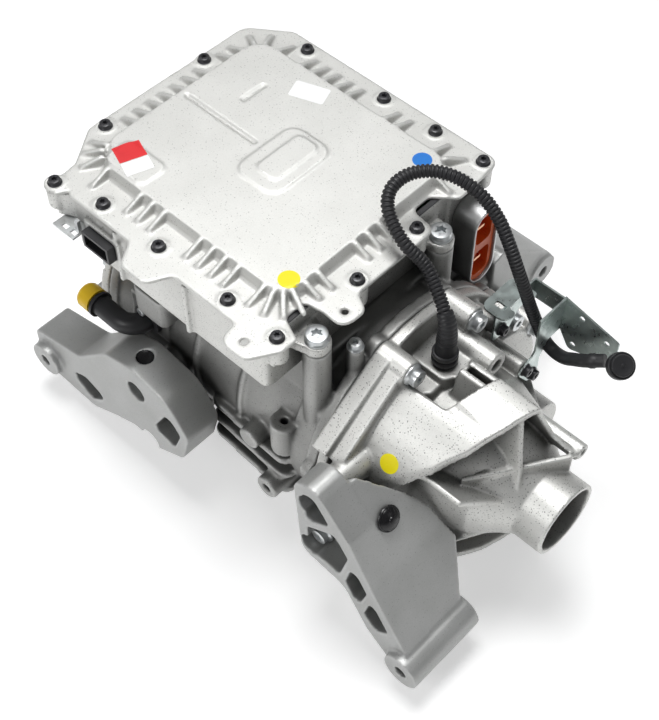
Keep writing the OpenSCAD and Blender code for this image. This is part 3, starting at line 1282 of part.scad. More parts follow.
module hose_bracket() color("#bfc4c6") difference() {
    union() {
        prism_z(tab_z - sheet_t, tab_z) polygon(rounded([[tab_x0, tab_y0, 9], [tab_x1, tab_y0, 9],
            [tab_x1, tab_y0 + 16, 3], [tab_x1 - 9, tab_y0 + 16, 3], [tab_x1 - 9, tab_y1 - 8, 3],
            [tab_x1, tab_y1 - 8, 3], [tab_x1, tab_y1, 3], [tab_x0, tab_y1, 6]]));
        prism_x(stay_x, stay_x + sheet_t) polygon(rounded([[64, 74, 5], [88, 74, 5], [100, 92, 5],
            [wing_y, 92, 1], [wing_y, tab_z, 1], [64, tab_z, 1]]));
        block(stay_x, wing_x + sheet_t, wing_y - sheet_t, wing_y, 92, tab_z);
        block(wing_x, wing_x + sheet_t, 84, wing_y, wing_z0, wing_z1);
        prism_y(wing_y - sheet_t, wing_y) polygon(rounded([[wing_x, wing_z0, 1], [wing_x, wing_z1, 1],
            [wing_x + wing_len, wing_z1 - 15, 3], [wing_x + wing_len, wing_z0 - 4, 6],
            [wing_x + 14, wing_z0 - 22, 6]]));
        prism_x(wing_x, wing_x + sheet_t) polygon(rounded([[61, 57, 5], [80, 30, 5], [94, 40, 5], [93, 56, 6],
            [104, wing_z0 + 2, 1], [86, wing_z0 + 2, 1], [80, 68, 5]]));
    }
    prism_z(tab_z - sheet_t - over, tab_z + over) polygon(rounded([[tab_x0 + 8, tab_y0 + 10, 2],
        [tab_x0 + 20, tab_y0 + 10, 2], [tab_x0 + 20, tab_y0 + 16, 2], [tab_x0 + 8, tab_y0 + 16, 2]]));
    rod_x(stay_x - over, stay_x + 3, screw_r + shank_gap, tab_screw[0], tab_screw[1]);
    for (p = foot_holes) rod_x(wing_x - over, wing_x + 3, screw_r + shank_gap, p[0], p[1]);
    for (p = [[22, 30], [52, 19], [18, -12]]) rod_y(wing_y - 14, wing_y + over, 3, wing_x + p[0], wing_z0 + p[1]);
}

module hose_bracket_screws() color("#3c3e42") {
    screw_px(stay_x + sheet_t, tab_screw[0], tab_screw[1], 16, screw_r, 7, 6);
    for (p = foot_holes) screw_px(wing_x + sheet_t, p[0], p[1], 16, screw_r, 7, 6);
}

module breather_fitting() color("#1a1b1d") translate([fitting_at[0], fitting_at[1], fitting_z]) difference() {
    union() {
        translate([0, 0, -16]) cylinder(h = 16, r = 8);
        cylinder(h = 4, r = 12);
        translate([0, 0, 4]) cylinder(h = 3, r = 10);
        translate([0, 0, 7]) cylinder(h = 4, r = 11.5);
        translate([0, 0, 11]) cylinder(h = hose_route[0][2] - fitting_z - 11, r = 9);
    }
    translate([0, 0, -17]) cylinder(h = 30, r = 3);
}

// A tube swept along a route, with a ring of points square to the path at each station
function along(route, i) = unit(route[min(i + 1, len(route) - 1)] - route[max(i - 1, 0)]);
function ring_side(t) = unit(cross(t, abs(t[0]) < 0.9 ? [1, 0, 0] : [0, 1, 0]));
function carried(route, i) = i == 0 ? ring_side(along(route, 0)) :
    let(t = along(route, i), u = carried(route, i - 1)) unit(u - (u * t) * t);
module swept_tube(route, r) {
    n = len(route);
    points = [for (i = [0:n - 1]) let(t = along(route, i), u = carried(route, i), w = cross(t, u))
        for (k = [0:hose_sides - 1]) route[i] + r * (u * cos(k * 360 / hose_sides) + w * sin(k * 360 / hose_sides))];
    sides = [for (i = [0:n - 2]) for (k = [0:hose_sides - 1])
        let(a = i * hose_sides + k, b = i * hose_sides + (k + 1) % hose_sides)
        [a, a + hose_sides, b + hose_sides, b]];
    ends = [[for (k = [0:hose_sides - 1]) k],
        [for (k = [hose_sides - 1:-1:0]) (n - 1) * hose_sides + k]];
    polyhedron(points, concat(sides, ends));
}

module breather_hose() color("#1c1d1f") swept_tube(hose_route, hose_d / 2);

module breather_tail() color("#232427") swept_tube(tail_route, hose_d / 2);

module breather_cap() color("#1b1c1e") {
    at = tail_route[len(tail_route) - 1];
    translate([at[0] + 14, at[1] + 4, at[2] + 1]) rotate([0, 34, -40]) {
        translate([0, 0, -4]) cylinder(h = 10, r = 13);
        translate([0, 0, 6]) cylinder(h = 3, r = 11.5);
    }
}

motor_housing();
motor_end_cover();
end_cover_bolts();
gearbox_cover();
gearbox_bolts();
bearing_carrier();
carrier_bolts();
stator_core();
stator_windings();
resolver_stator();
bearing_outer_rings();
output_seals();
inverter_housing();
inverter_bolts();
ground_bolt();
cover_gasket();
inverter_cover();
cover_screws();
power_module();
dc_link_capacitor();
control_board();
phase_busbars();
hv_connector_shell();
hv_connector_insert();
hv_connector_pins();
signal_connector();
harness_tab();
left_mount_bracket();
right_mount_bracket();
rear_mount_bracket();
bracket_bolts();
bracket_plugs();
coolant_elbow();
coolant_elbow_screw();
coolant_cap();
hose_bracket();
hose_bracket_screws();
breather_fitting();
breather_hose();
breather_tail();
breather_cap();
rotor_shaft();
rotor_core();
rotor_magnets();
rotor_end_plates();
resolver_rotor();
rotor_bearing_inners();
layshaft();
layshaft_gear();
layshaft_bearing_inners();
differential_case();
ring_gear();
ring_gear_bolts();
differential_bearing_inners();
cross_pin();
spider_pinion_upper();
spider_pinion_lower();
side_gear_left();
side_gear_right();
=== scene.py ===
# %% [markdown]
# # An electric drive unit, dressed for a studio picture
#
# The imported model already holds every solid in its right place, in metres, with the axle along X.
# This lesson adds what a casting, a bolt or a hose needs to look real: soft cast edges, recesses,
# corrugations and procedural finishes. Nothing that moves is touched, so every piece that is added
# simply rides on the body that carries it.

# %% Load the frame
import json
import math

import bmesh
import bpy
import numpy as np
from mathutils import Matrix, Vector
from mathutils.bvhtree import BVHTree


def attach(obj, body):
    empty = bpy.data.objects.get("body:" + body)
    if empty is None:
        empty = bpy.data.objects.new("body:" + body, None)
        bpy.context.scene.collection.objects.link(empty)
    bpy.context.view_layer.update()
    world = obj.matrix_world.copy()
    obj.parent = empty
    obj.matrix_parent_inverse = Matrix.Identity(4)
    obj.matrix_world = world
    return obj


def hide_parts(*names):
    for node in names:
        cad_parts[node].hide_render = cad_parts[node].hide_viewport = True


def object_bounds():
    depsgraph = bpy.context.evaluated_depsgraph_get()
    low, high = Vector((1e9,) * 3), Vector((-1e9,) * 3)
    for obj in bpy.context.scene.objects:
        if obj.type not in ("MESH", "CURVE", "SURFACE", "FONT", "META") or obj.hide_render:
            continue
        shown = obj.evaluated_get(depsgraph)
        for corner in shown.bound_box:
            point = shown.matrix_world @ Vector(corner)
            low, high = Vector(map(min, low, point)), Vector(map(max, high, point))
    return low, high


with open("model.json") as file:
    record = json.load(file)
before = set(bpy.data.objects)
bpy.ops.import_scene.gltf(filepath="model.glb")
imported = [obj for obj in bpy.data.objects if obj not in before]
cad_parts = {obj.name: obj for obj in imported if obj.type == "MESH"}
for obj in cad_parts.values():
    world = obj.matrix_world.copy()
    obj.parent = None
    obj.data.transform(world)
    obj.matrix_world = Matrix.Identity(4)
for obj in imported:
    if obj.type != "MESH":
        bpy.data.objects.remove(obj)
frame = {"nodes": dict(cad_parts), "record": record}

cad_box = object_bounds()
nodes = frame["nodes"]
scene = bpy.context.scene

# %% [markdown]
# ## Camera
# The camera was solved from the straight edges of the inverter cover. It looks down at 53 degrees
# from the front right. A camera could also be placed by eye with a track-to constraint, but numbers
# keep it fixed, and a rotation built from the viewing direction has no roll.

# %% Camera
camera_place = (0.26872, -0.60015, 1.08286)
view_azimuth = math.radians(43.4)
view_elevation = math.radians(53.4)
lens_mm = 67.5

towards_camera = Vector((
    math.cos(view_elevation) * math.sin(view_azimuth),
    -math.cos(view_elevation) * math.cos(view_azimuth),
    math.sin(view_elevation)))
camera_data = bpy.data.cameras.new("photo_camera")
camera_data.sensor_width = 36
camera_data.lens = lens_mm
camera = bpy.data.objects.new("photo_camera", camera_data)
camera.location = camera_place
camera.rotation_euler = towards_camera.to_track_quat("Z", "Y").to_euler()
scene.collection.objects.link(camera)
scene.camera = camera
print("camera at", camera_place, "lens", lens_mm)

# %% [markdown]
# ## Light and floor
# The picture is high key: a white table, a wide soft light from above, a weaker one in front for the
# slanting faces and a faint one at the side. A small lamp would give hard shadows, so all are about a
# metre wide. A brighter world would be simpler, but it would fill the dark hollows of the castings.
# The floor is a pale diffuse plane that keeps the shadow. A little extra white for camera, glossy and
# transmission rays lifts it to a paper white without putting more light on the object.

# %% Light and floor
floor_z = cad_box[0][2]
floor_half = 6.0


def area_lamp(name, place, target, size, watts):
    data = bpy.data.lights.new(name, "AREA")
    data.shape = "DISK"
    data.size = size
    data.energy = watts
    lamp = bpy.data.objects.new(name, data)
    lamp.location = place
    lamp.rotation_euler = (Vector(place) - Vector(target)).to_track_quat("Z", "Y").to_euler()
    scene.collection.objects.link(lamp)
    return lamp


middle = (-0.25, 0.0, 0.0)
area_lamp("key_softbox", (-0.5, 0.1, 1.9), middle, 0.9, 29)
area_lamp("front_softbox", (-0.5, -1.8, 1.2), middle, 1.0, 12)
area_lamp("side_softbox", (1.5, 0.7, 1.1), middle, 1.0, 1.5)

world = bpy.data.worlds.new("studio")
scene.world = world
world.use_nodes = True
world.node_tree.nodes["Background"].inputs["Color"].default_value = (0.97, 0.985, 1.0, 1)
world.node_tree.nodes["Background"].inputs["Strength"].default_value = 0.17

floor_corners = [(x * floor_half, y * floor_half, floor_z) for x, y in ((-1, -1), (1, -1), (1, 1), (-1, 1))]
floor_mesh = bpy.data.meshes.new("floor")
floor_mesh.from_pydata(floor_corners, [], [(0, 1, 2, 3)])
floor = bpy.data.objects.new("floor", floor_mesh)
scene.collection.objects.link(floor)
scene.view_settings.view_transform = "Standard"
print("floor at", round(floor_z, 4))

# %% [markdown]
# ## Helpers for shader nodes
# A material here is a small graph. A few helpers keep the graphs short: they place a node and set its
# inputs, join values by arithmetic, spread a value over a new range, blend two colours, and start a group.


# %% Node helpers
def put(tree, kind, **inputs):
    node = tree.nodes.new(kind)
    for name, value in inputs.items():
        socket = node.inputs[name.replace("_", " ")]
        if isinstance(value, bpy.types.NodeSocket):
            tree.links.new(value, socket)
        else:
            socket.default_value = value
    return node


def join(tree, operation, a, b=0.0, clamp=False):
    node = tree.nodes.new("ShaderNodeMath")
    node.operation = operation
    node.use_clamp = clamp
    for socket, value in zip(node.inputs, (a, b)):
        if isinstance(value, bpy.types.NodeSocket):
            tree.links.new(value, socket)
        else:
            socket.default_value = value
    return node.outputs[0]


def spread(tree, value, low, high, to_low=0.0, to_high=1.0):
    node = put(tree, "ShaderNodeMapRange", Value=value)
    for name, number in (("From Min", low), ("From Max", high), ("To Min", to_low), ("To Max", to_high)):
        node.inputs[name].default_value = number
    return node.outputs[0]


def blend_colours(tree, share, a, b):
    node = tree.nodes.new("ShaderNodeMix")
    node.data_type = "RGBA"
    for index, value in ((0, share), (6, a), (7, b)):
        if isinstance(value, bpy.types.NodeSocket):
            tree.links.new(value, node.inputs[index])
        elif index == 0:
            node.inputs[index].default_value = value
        else:
            node.inputs[index].default_value = (*value, 1.0)
    return node.outputs[2]


def group(name, inputs, outputs):
    tree = bpy.data.node_groups.new(name, "ShaderNodeTree")
    for label, value in inputs:
        socket = tree.interface.new_socket(label, in_out="INPUT", socket_type="NodeSocketFloat")
        socket.default_value = value
    for label in outputs:
        tree.interface.new_socket(label, in_out="OUTPUT", socket_type="NodeSocketFloat")
    return tree, tree.nodes.new("NodeGroupInput").outputs, tree.nodes.new("NodeGroupOutput").inputs


print("node helpers ready")

# %% [markdown]
# ## Shared effect: cast grain
# A sand or die casting is never smooth: there is a fine orange-peel grain of about a millimetre and
# broad patches where the metal cooled differently. Two noises at very different scales give both. The
# grain goes to bump and roughness, the patches to colour.

# %% Cast grain group
cast_grain, into, out = group("cast_grain", [("Grain per metre", 900.0), ("Patches per metre", 18.0)],
                              ["Height", "Patches", "Fine"])
place = cast_grain.nodes.new("ShaderNodeTexCoord").outputs["Object"]
fine = put(cast_grain, "ShaderNodeTexNoise", Vector=place, Scale=into["Grain per metre"],
           Detail=4.0, Roughness=0.62)
broad = put(cast_grain, "ShaderNodeTexNoise", Vector=place, Scale=into["Patches per metre"],
            Detail=5.0, Roughness=0.55)
middling = put(cast_grain, "ShaderNodeTexNoise", Vector=place,
               Scale=join(cast_grain, "MULTIPLY", into["Grain per metre"], 0.22), Detail=2.0)
height = join(cast_grain, "ADD", fine.outputs[0], join(cast_grain, "MULTIPLY", middling.outputs[0], 0.7))
cast_grain.links.new(height, out["Height"])
cast_grain.links.new(spread(cast_grain, broad.outputs[0], 0.3, 0.7), out["Patches"])
cast_grain.links.new(spread(cast_grain, fine.outputs[0], 0.3, 0.7), out["Fine"])
print("group", cast_grain.name)

# %% [markdown]
# ## Shared effect: dark specks
# The blasted castings carry fine dark specks, scattered and of different size. Voronoi cells give one
# possible speck per cell; a random number per cell decides whether it shows and how large it is.

# %% Speck group
dark_specks, into, out = group(
    "dark_specks", [("Cells per metre", 260.0), ("Share", 0.3), ("Size", 0.14)], ["Mask"])
place = dark_specks.nodes.new("ShaderNodeTexCoord").outputs["Object"]
wobble = put(dark_specks, "ShaderNodeTexNoise", Vector=place, Scale=1500.0)
shaken = dark_specks.nodes.new("ShaderNodeVectorMath")
shaken.operation = "MULTIPLY_ADD"
dark_specks.links.new(wobble.outputs["Color"], shaken.inputs[0])
speck_wobble = 0.0008
shaken.inputs[1].default_value = (speck_wobble, speck_wobble, speck_wobble)
dark_specks.links.new(place, shaken.inputs[2])
cells = put(dark_specks, "ShaderNodeTexVoronoi", Vector=shaken.outputs[0], Scale=into["Cells per metre"])
parts = dark_specks.nodes.new("ShaderNodeSeparateColor")
dark_specks.links.new(cells.outputs["Color"], parts.inputs[0])
shows = join(dark_specks, "LESS_THAN", parts.outputs[0], into["Share"])
reach = join(dark_specks, "MULTIPLY", into["Size"], join(dark_specks, "ADD", parts.outputs[1], 0.35))
inside = join(dark_specks, "SUBTRACT", 1.0, join(dark_specks, "DIVIDE", cells.outputs["Distance"], reach))
inside = join(dark_specks, "MULTIPLY", inside, 2.2, clamp=True)
dark_specks.links.new(join(dark_specks, "MULTIPLY", inside, shows, clamp=True), out["Mask"])
print("group", dark_specks.name)

# %% [markdown]
# ## Shared effect: edges and hollows
# Corners of a handled casting are rubbed bright, and its hollows are darkened, partly as grime and partly as
# painted shade. Pointiness tells how much the surface bulges, so one range of it marks the edges and the other
# the hollows.

# %% Edge group
edge_wear, into, out = group("edge_wear", [("Reach", 0.06)], ["Edges", "Hollows"])
bulge = edge_wear.nodes.new("ShaderNodeNewGeometry").outputs["Pointiness"]
flat_low, flat_high = 0.495, 0.505
rise = join(edge_wear, "DIVIDE", join(edge_wear, "SUBTRACT", bulge, flat_high), into["Reach"], clamp=True)
fall = join(edge_wear, "DIVIDE", join(edge_wear, "SUBTRACT", flat_low, bulge), into["Reach"], clamp=True)
edge_wear.links.new(rise, out["Edges"])
edge_wear.links.new(fall, out["Hollows"])
print("group", edge_wear.name)


# %% [markdown]
# ## Cast finishes
# All castings share one recipe with their own numbers: a metal base whose colour drifts in patches, darkened
# by specks and by grime and painted shade in hollows, brightened along edges, with the grain in roughness and
# bump. Deep pockets get painted shade: ambient occlusion finds them and darkens their colour.
# A painted or plastic look would need no metal at all; these parts are bare aluminium.

# %% Cast finishes
def use_group(tree, source, **inputs):
    node = tree.nodes.new("ShaderNodeGroup")
    node.node_tree = source
    for name, value in inputs.items():
        node.inputs[name.replace("_", " ")].default_value = value
    return node.outputs


def new_material(name):
    material = bpy.data.materials.new(name)
    material.use_nodes = True
    tree = material.node_tree
    return material, tree, tree.nodes["Principled BSDF"]


def toned(colour, gain, lift=0.0):
    """A colour made darker or lighter, held under white."""
    return [min(1.0, c * gain + lift) for c in colour]


def bump(tree, shader, height, strength, distance):
    node = put(tree, "ShaderNodeBump", Height=height, Strength=strength, Distance=distance)
    tree.links.new(node.outputs[0], shader.inputs["Normal"])


pocket_reach = 0.07
rubbed_metal = (0.95, 0.95, 0.94)
speck_grey = (0.12, 0.12, 0.115)


def cast_finish(name, colour, shade, metal=0.85, rough=(0.42, 0.6), grain=900.0, share=0.3, size=0.14,
                cells=260.0, depth=0.0001, speck=0.55, edge=0.12, hollow=0.35, pocket_shade=0.4):
    material, tree, shader = new_material(name)
    shader.inputs["Metallic"].default_value = metal
    grain_out = use_group(tree, cast_grain, Grain_per_metre=grain)
    specks = use_group(tree, dark_specks, Cells_per_metre=cells, Share=share, Size=size)["Mask"]
    edges = use_group(tree, edge_wear)
    drift = blend_colours(tree, grain_out["Patches"], colour, shade)
    fine = blend_colours(tree, join(tree, "MULTIPLY", grain_out["Fine"], 0.25), drift, toned(shade, 0.8))
    # Hollows darken towards a dark shade: partly grime, partly painted shade.
    grime_and_painted_shade = blend_colours(tree, join(tree, "MULTIPLY", edges["Hollows"], hollow), fine, toned(shade, 0.35))
    # Painted shade: ambient occlusion darkens the colour of deep pockets towards a dark shade.
    shelter = put(tree, "ShaderNodeAmbientOcclusion", Distance=pocket_reach).outputs["AO"]
    painted_pocket_shade = join(tree, "MULTIPLY", join(tree, "SUBTRACT", 1.0, shelter), pocket_shade)
    grime_and_painted_shade = blend_colours(tree, painted_pocket_shade, grime_and_painted_shade, toned(shade, 0.25))
    rubbed = blend_colours(tree, join(tree, "MULTIPLY", edges["Edges"], edge), grime_and_painted_shade, rubbed_metal)
    final = blend_colours(tree, join(tree, "MULTIPLY", specks, speck), rubbed, speck_grey)
    tree.links.new(final, shader.inputs["Base Color"])
    tree.links.new(spread(tree, grain_out["Fine"], 0.0, 1.0, *rough), shader.inputs["Roughness"])
    bump(tree, shader, grain_out["Height"], 0.35, depth)
    return material


finishes = {
    "cover_cast": cast_finish(
        "blasted_cover", (0.78, 0.78, 0.755), (0.7, 0.7, 0.675), metal=0.6, rough=(0.5, 0.66),
        share=0.55, size=0.25, cells=520.0, speck=0.6),
    "housing_cast": cast_finish(
        "sand_cast_housing", (0.8, 0.8, 0.775), (0.68, 0.68, 0.655), metal=0.75,
        share=0.8, size=0.3, cells=520.0, speck=0.85, pocket_shade=0.95),
    # Painted shade: the motor housing takes a darker copy of the housing cast, standing in for the shade under
    # the inverter.
    "shaded_motor_cast": cast_finish(
        "motor_housing_painted_shade", (0.5, 0.5, 0.485), (0.36, 0.36, 0.35), metal=0.75,
        share=0.45, size=0.28, cells=520.0, speck=0.7, edge=0.3, pocket_shade=1.0),
    "bracket_cast": cast_finish(
        "grey_bracket", (0.5, 0.505, 0.5), (0.42, 0.425, 0.415), metal=0.6, rough=(0.4, 0.55),
        share=0.42, size=0.24, cells=560.0, speck=0.55, edge=0.25, depth=0.00008),
    "shell_metal": cast_finish(
        "die_cast_shell", (0.62, 0.63, 0.63), (0.5, 0.5, 0.5), rough=(0.35, 0.5), share=0.1),
}
print("cast finishes:", list(finishes))

# %% [markdown]
# ## Steel finishes
# Plated and turned steel shows very fine tool marks and a cloudy drift of the plating, and little else.
# Two noises give both without any picture: a fine one for bump, a broad one for colour and roughness.


# %% Steel finishes
turned_marks, into, out = group("turned_marks", [("Marks per metre", 1800.0)], ["Height", "Tone"])
place = turned_marks.nodes.new("ShaderNodeTexCoord").outputs["Object"]
fine_marks = put(turned_marks, "ShaderNodeTexNoise", Vector=place, Scale=into["Marks per metre"],
                 Detail=3.0, Roughness=0.7)
cloud = put(turned_marks, "ShaderNodeTexNoise", Vector=place, Scale=120.0, Detail=4.0)
turned_marks.links.new(fine_marks.outputs[0], out["Height"])
turned_marks.links.new(spread(turned_marks, cloud.outputs[0], 0.3, 0.7), out["Tone"])


def steel_finish(name, colour, shade, rough, metal=1.0, depth=0.00002, edge=0.25):
    material, tree, shader = new_material(name)
    shader.inputs["Metallic"].default_value = metal
    marks = use_group(tree, turned_marks)
    edges = use_group(tree, edge_wear)
    drift = blend_colours(tree, marks["Tone"], colour, shade)
    rubbed = blend_colours(tree, join(tree, "MULTIPLY", edges["Edges"], edge), drift, toned(colour, 1.4, 0.1))
    tree.links.new(rubbed, shader.inputs["Base Color"])
    tree.links.new(spread(tree, marks["Tone"], 0.0, 1.0, *rough), shader.inputs["Roughness"])
    bump(tree, shader, marks["Height"], 0.2, depth)
    return material


finishes.update({
    "zinc_steel": steel_finish(
        "zinc_plate", (0.66, 0.68, 0.685), (0.52, 0.55, 0.565), (0.3, 0.46), metal=0.9),
    "black_steel": steel_finish(
        "black_coated_steel", (0.035, 0.035, 0.04), (0.02, 0.02, 0.022), (0.28, 0.42), metal=0.4),
    "gear_steel": steel_finish("ground_gear_steel", (0.55, 0.56, 0.58), (0.46, 0.47, 0.49), (0.22, 0.35)),
    "bearing_steel": steel_finish(
        "polished_bearing_steel", (0.75, 0.76, 0.78), (0.68, 0.69, 0.71), (0.08, 0.16)),
    "lamination": steel_finish("stacked_sheet", (0.4, 0.41, 0.43), (0.32, 0.33, 0.35), (0.35, 0.5)),
    "iron": steel_finish("machined_iron", (0.34, 0.345, 0.35), (0.27, 0.27, 0.28), (0.35, 0.5)),
    "copper": steel_finish("bare_copper", (0.83, 0.45, 0.27), (0.7, 0.36, 0.2), (0.25, 0.4)),
})
print("steel finishes added, now", len(finishes))

# %% [markdown]
# ## Moulded finishes
# Plastic and rubber are not metal: a dark colour, a slight grain from the mould, and dust that dulls
# the gloss in patches.


# %% Moulded finishes
def moulded_finish(name, colour, shade, rough, depth=0.00003, grain=2200.0, specular=0.5):
    material, tree, shader = new_material(name)
    shader.inputs["Specular IOR Level"].default_value = specular
    grain_out = use_group(tree, cast_grain, Grain_per_metre=grain, Patches_per_metre=40.0)
    edges = use_group(tree, edge_wear)
    drift = blend_colours(tree, grain_out["Patches"], colour, shade)
    rubbed = blend_colours(tree, join(tree, "MULTIPLY", edges["Edges"], 0.15), drift, toned(colour, 1.3, 0.05))
    tree.links.new(rubbed, shader.inputs["Base Color"])
    tree.links.new(spread(tree, grain_out["Patches"], 0.0, 1.0, *rough), shader.inputs["Roughness"])
    bump(tree, shader, grain_out["Height"], 0.25, depth)
    return material


finishes.update({
    "black_plastic": moulded_finish(
        "black_moulding", (0.014, 0.014, 0.016), (0.02, 0.02, 0.022), (0.36, 0.5)),
    "black_rubber": moulded_finish("black_rubber", (0.012, 0.012, 0.014), (0.018, 0.018, 0.02), (0.42, 0.58)),
    "orange_plastic": moulded_finish("orange_moulding", (0.83, 0.13, 0.012), (0.75, 0.1, 0.01), (0.38, 0.5)),
    "yellow_plastic": moulded_finish(
        "yellow_moulding", (0.88, 0.56, 0.004), (0.8, 0.48, 0.003), (0.36, 0.48)),
    "board": moulded_finish("board_laminate", (0.012, 0.09, 0.035), (0.01, 0.07, 0.028), (0.4, 0.5)),
})

floor_material, tree, shader = new_material("white_table")
place = tree.nodes.new("ShaderNodeTexCoord").outputs["Object"]
paper = put(tree, "ShaderNodeTexNoise", Vector=place, Scale=30.0, Detail=6.0)
paper_share = spread(tree, paper.outputs[0], 0.3, 0.7)
paper_colour = blend_colours(tree, paper_share, (0.78, 0.78, 0.78), (0.765, 0.765, 0.765))
tree.links.new(paper_colour, shader.inputs["Base Color"])
shader.inputs["Roughness"].default_value = 0.9
shader.inputs["Specular IOR Level"].default_value = 0.0
path = tree.nodes.new("ShaderNodeLightPath").outputs
seen = join(tree, "MAXIMUM", path["Is Camera Ray"], path["Is Glossy Ray"])
seen = join(tree, "MAXIMUM", seen, path["Is Transmission Ray"])
shader.inputs["Emission Color"].default_value = (1, 1, 1, 1)
floor_lift = 0.46
tree.links.new(join(tree, "MULTIPLY", seen, floor_lift), shader.inputs["Emission Strength"])
floor_mesh.materials.append(floor_material)
print("finishes in all:", len(finishes))

# %% [markdown]
# ## Every solid gets its finish
# The record says which material slot each node takes. Hanging the material on the object's slot keeps
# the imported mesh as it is.

# %% Dress the nodes
slot_of = {row["node"]: row["material_slot"] for row in frame["record"]["subparts"]}


def dress(obj, material):
    if not obj.material_slots:
        obj.data.materials.append(None)
    for entry in obj.material_slots:
        entry.link = "OBJECT"
        entry.material = material


for name, obj in nodes.items():
    dress(obj, finishes[slot_of[name]])
finish_of = {name: finishes[slot] for name, slot in slot_of.items()}
# Painted shade: the motor housing gets the darker copy of the housing cast.
finish_of["motor_housing"] = finishes["shaded_motor_cast"]
passivated = steel_finish("passivated_sheet", (0.5, 0.56, 0.54), (0.36, 0.42, 0.41), (0.24, 0.4))
dress(nodes["hose_bracket"], passivated)
print("dressed", len(nodes), "nodes")

# %% [markdown]
# ## New pieces
# A new piece is a mesh in the same frame, with its finish, taken from its slot unless one is given, and the
# body it rides on. Faces that meet at a small angle are shaded as one smooth surface.


# %% Piece helper
def piece(name, mesh, slot, replaced=(), body="casing", finish=None, smooth_angle=35.0):
    obj = bpy.data.objects.new(name, mesh)
    scene.collection.objects.link(obj)
    mesh.materials.clear()
    mesh.materials.append(finish or finishes[slot])
    mesh.shade_smooth()
    if smooth_angle:
        mesh.set_sharp_from_angle(angle=math.radians(smooth_angle))
    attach(obj, body)
    if replaced:
        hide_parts(*replaced)
    return obj


def mesh_from(name, points, faces):
    mesh = bpy.data.meshes.new(name)
    mesh.from_pydata([tuple(p) for p in points], [], faces)
    mesh.update()
    return mesh


print("piece helper ready")

# %% [markdown]
# ## Breather hose
# The breather conduit leaves its fitting upright, climbs over the cover's edge in a loop and comes down
# to the sheet bracket. It is a stiff corrugated tube, so it holds this loop by itself. A curve with a
# bevel would give a smooth tube; rings swept along the route with a wavy radius give the real folds.

# %% Breather hose
hose_route = [
    (-158, 3, 127), (-158, 3, 138), (-162, 5, 152), (-178, 10, 172), (-196, 12, 192), (-216, 5, 212),
    (-238, 10, 228), (-249, 23, 238), (-248, 42, 243), (-236, 60, 244), (-216, 73, 240), (-194, 81, 228),
    (-175, 84, 210), (-160, 84, 188), (-148, 85, 164), (-140, 89, 140), (-134, 94, 116), (-129, 100, 94),
    (-124, 105, 76)]
tail_route = [
    (-123.9, 105.1, 75.65), (-122.5, 106.5, 70.6), (-117, 107.5, 62), (-106, 107, 58), (-93, 104, 63),
    (-80, 100, 76), (-67, 98, 88), (-52, 104, 96)]
hose_radius = 0.0062
hose_pitch = 0.0038


def smooth_path(route, spacing):
    """Evenly spaced points on a smooth curve through a route in millimetres, in metres."""
    p = np.array(route, float) / 1000
    p = np.vstack([2 * p[0] - p[1], p, 2 * p[-1] - p[-2]])
    dense = []
    for a, b, c, d in zip(p, p[1:], p[2:], p[3:]):
        for t in np.linspace(0, 1, 40, endpoint=False):
            square = (2 * a - 5 * b + 4 * c - d) * t ** 2
            cube = (3 * b - a - 3 * c + d) * t ** 3
            dense.append(0.5 * (2 * b + (c - a) * t + square + cube))
    dense = np.array(dense + [p[-2]])
    along = np.r_[0, np.cumsum(np.linalg.norm(np.diff(dense, axis=0), axis=1))]
    count = max(2, int(round(along[-1] / spacing)))
    steps = np.linspace(0, along[-1], count + 1)
    return np.c_[[np.interp(steps, along, dense[:, k]) for k in range(3)]].T, along[-1]


def tube_faces(rings, sides):
    """Faces of a closed tube whose points come ring by ring."""
    faces = []
    for i in range(rings - 1):
        for k in range(sides):
            a, b = i * sides + k, i * sides + (k + 1) % sides
            faces.append((a, b, b + sides, a + sides))
    last = (rings - 1) * sides
    return faces + [tuple(range(sides - 1, -1, -1)), tuple(range(last, last + sides))]


def sweep(name, path, radii, sides=24):
    """A closed tube along a path, with one radius for each point of it."""
    tangents = np.gradient(path, axis=0)
    tangents /= np.linalg.norm(tangents, axis=1)[:, None]
    side = np.cross(tangents[0], (1.0, 0.2, 0.1))
    points = []
    for at, t, r in zip(path, tangents, radii):
        side = side - t * (side @ t)
        side /= np.linalg.norm(side)
        other = np.cross(t, side)
        points += [at + r * (side * math.cos(a) + other * math.sin(a))
                   for a in np.linspace(0, 2 * math.pi, sides, endpoint=False)]
    return mesh_from(name, points, tube_faces(len(path), sides))


hose_path, hose_length = smooth_path(hose_route, hose_pitch / 8)
fold = [0.0, 0.0, 0.35, 1.0, 1.0, 1.0, 1.0, 0.35]
fold_depth = 0.00115
hose_radii = [hose_radius - fold_depth * (1 - fold[i % len(fold)]) for i in range(len(hose_path))]
hose = piece("corrugated_hose", sweep("corrugated_hose", hose_path, hose_radii), "black_rubber",
             ["breather_hose"], smooth_angle=50)
tail_path, tail_length = smooth_path(tail_route, 0.002)
tail_radius = 0.0064
bead_height = 0.0007
bead_rings = range(len(tail_path) - 8, len(tail_path) - 5)
tail_radii = [tail_radius + (bead_height if i in bead_rings else 0.0) for i in range(len(tail_path))]
tail = piece("smooth_tail", sweep("smooth_tail", tail_path, tail_radii, 32), "black_rubber",
             ["breather_tail"])
print("hose length", round(float(hose_length), 4), "m,", len(hose_path), "rings")

# %% [markdown]
# ## Cast edges
# The solids have knife-sharp corners. A real casting has a fillet at every corner, inside and out. A
# bevel modifier rounds only what the mesh offers, and often breaks on such shapes. Rebuilding a copy
# from small voxels and smoothing it rounds all corners alike, as a mould does. The copy stands for the
# solid, which stays in the frame unchanged.


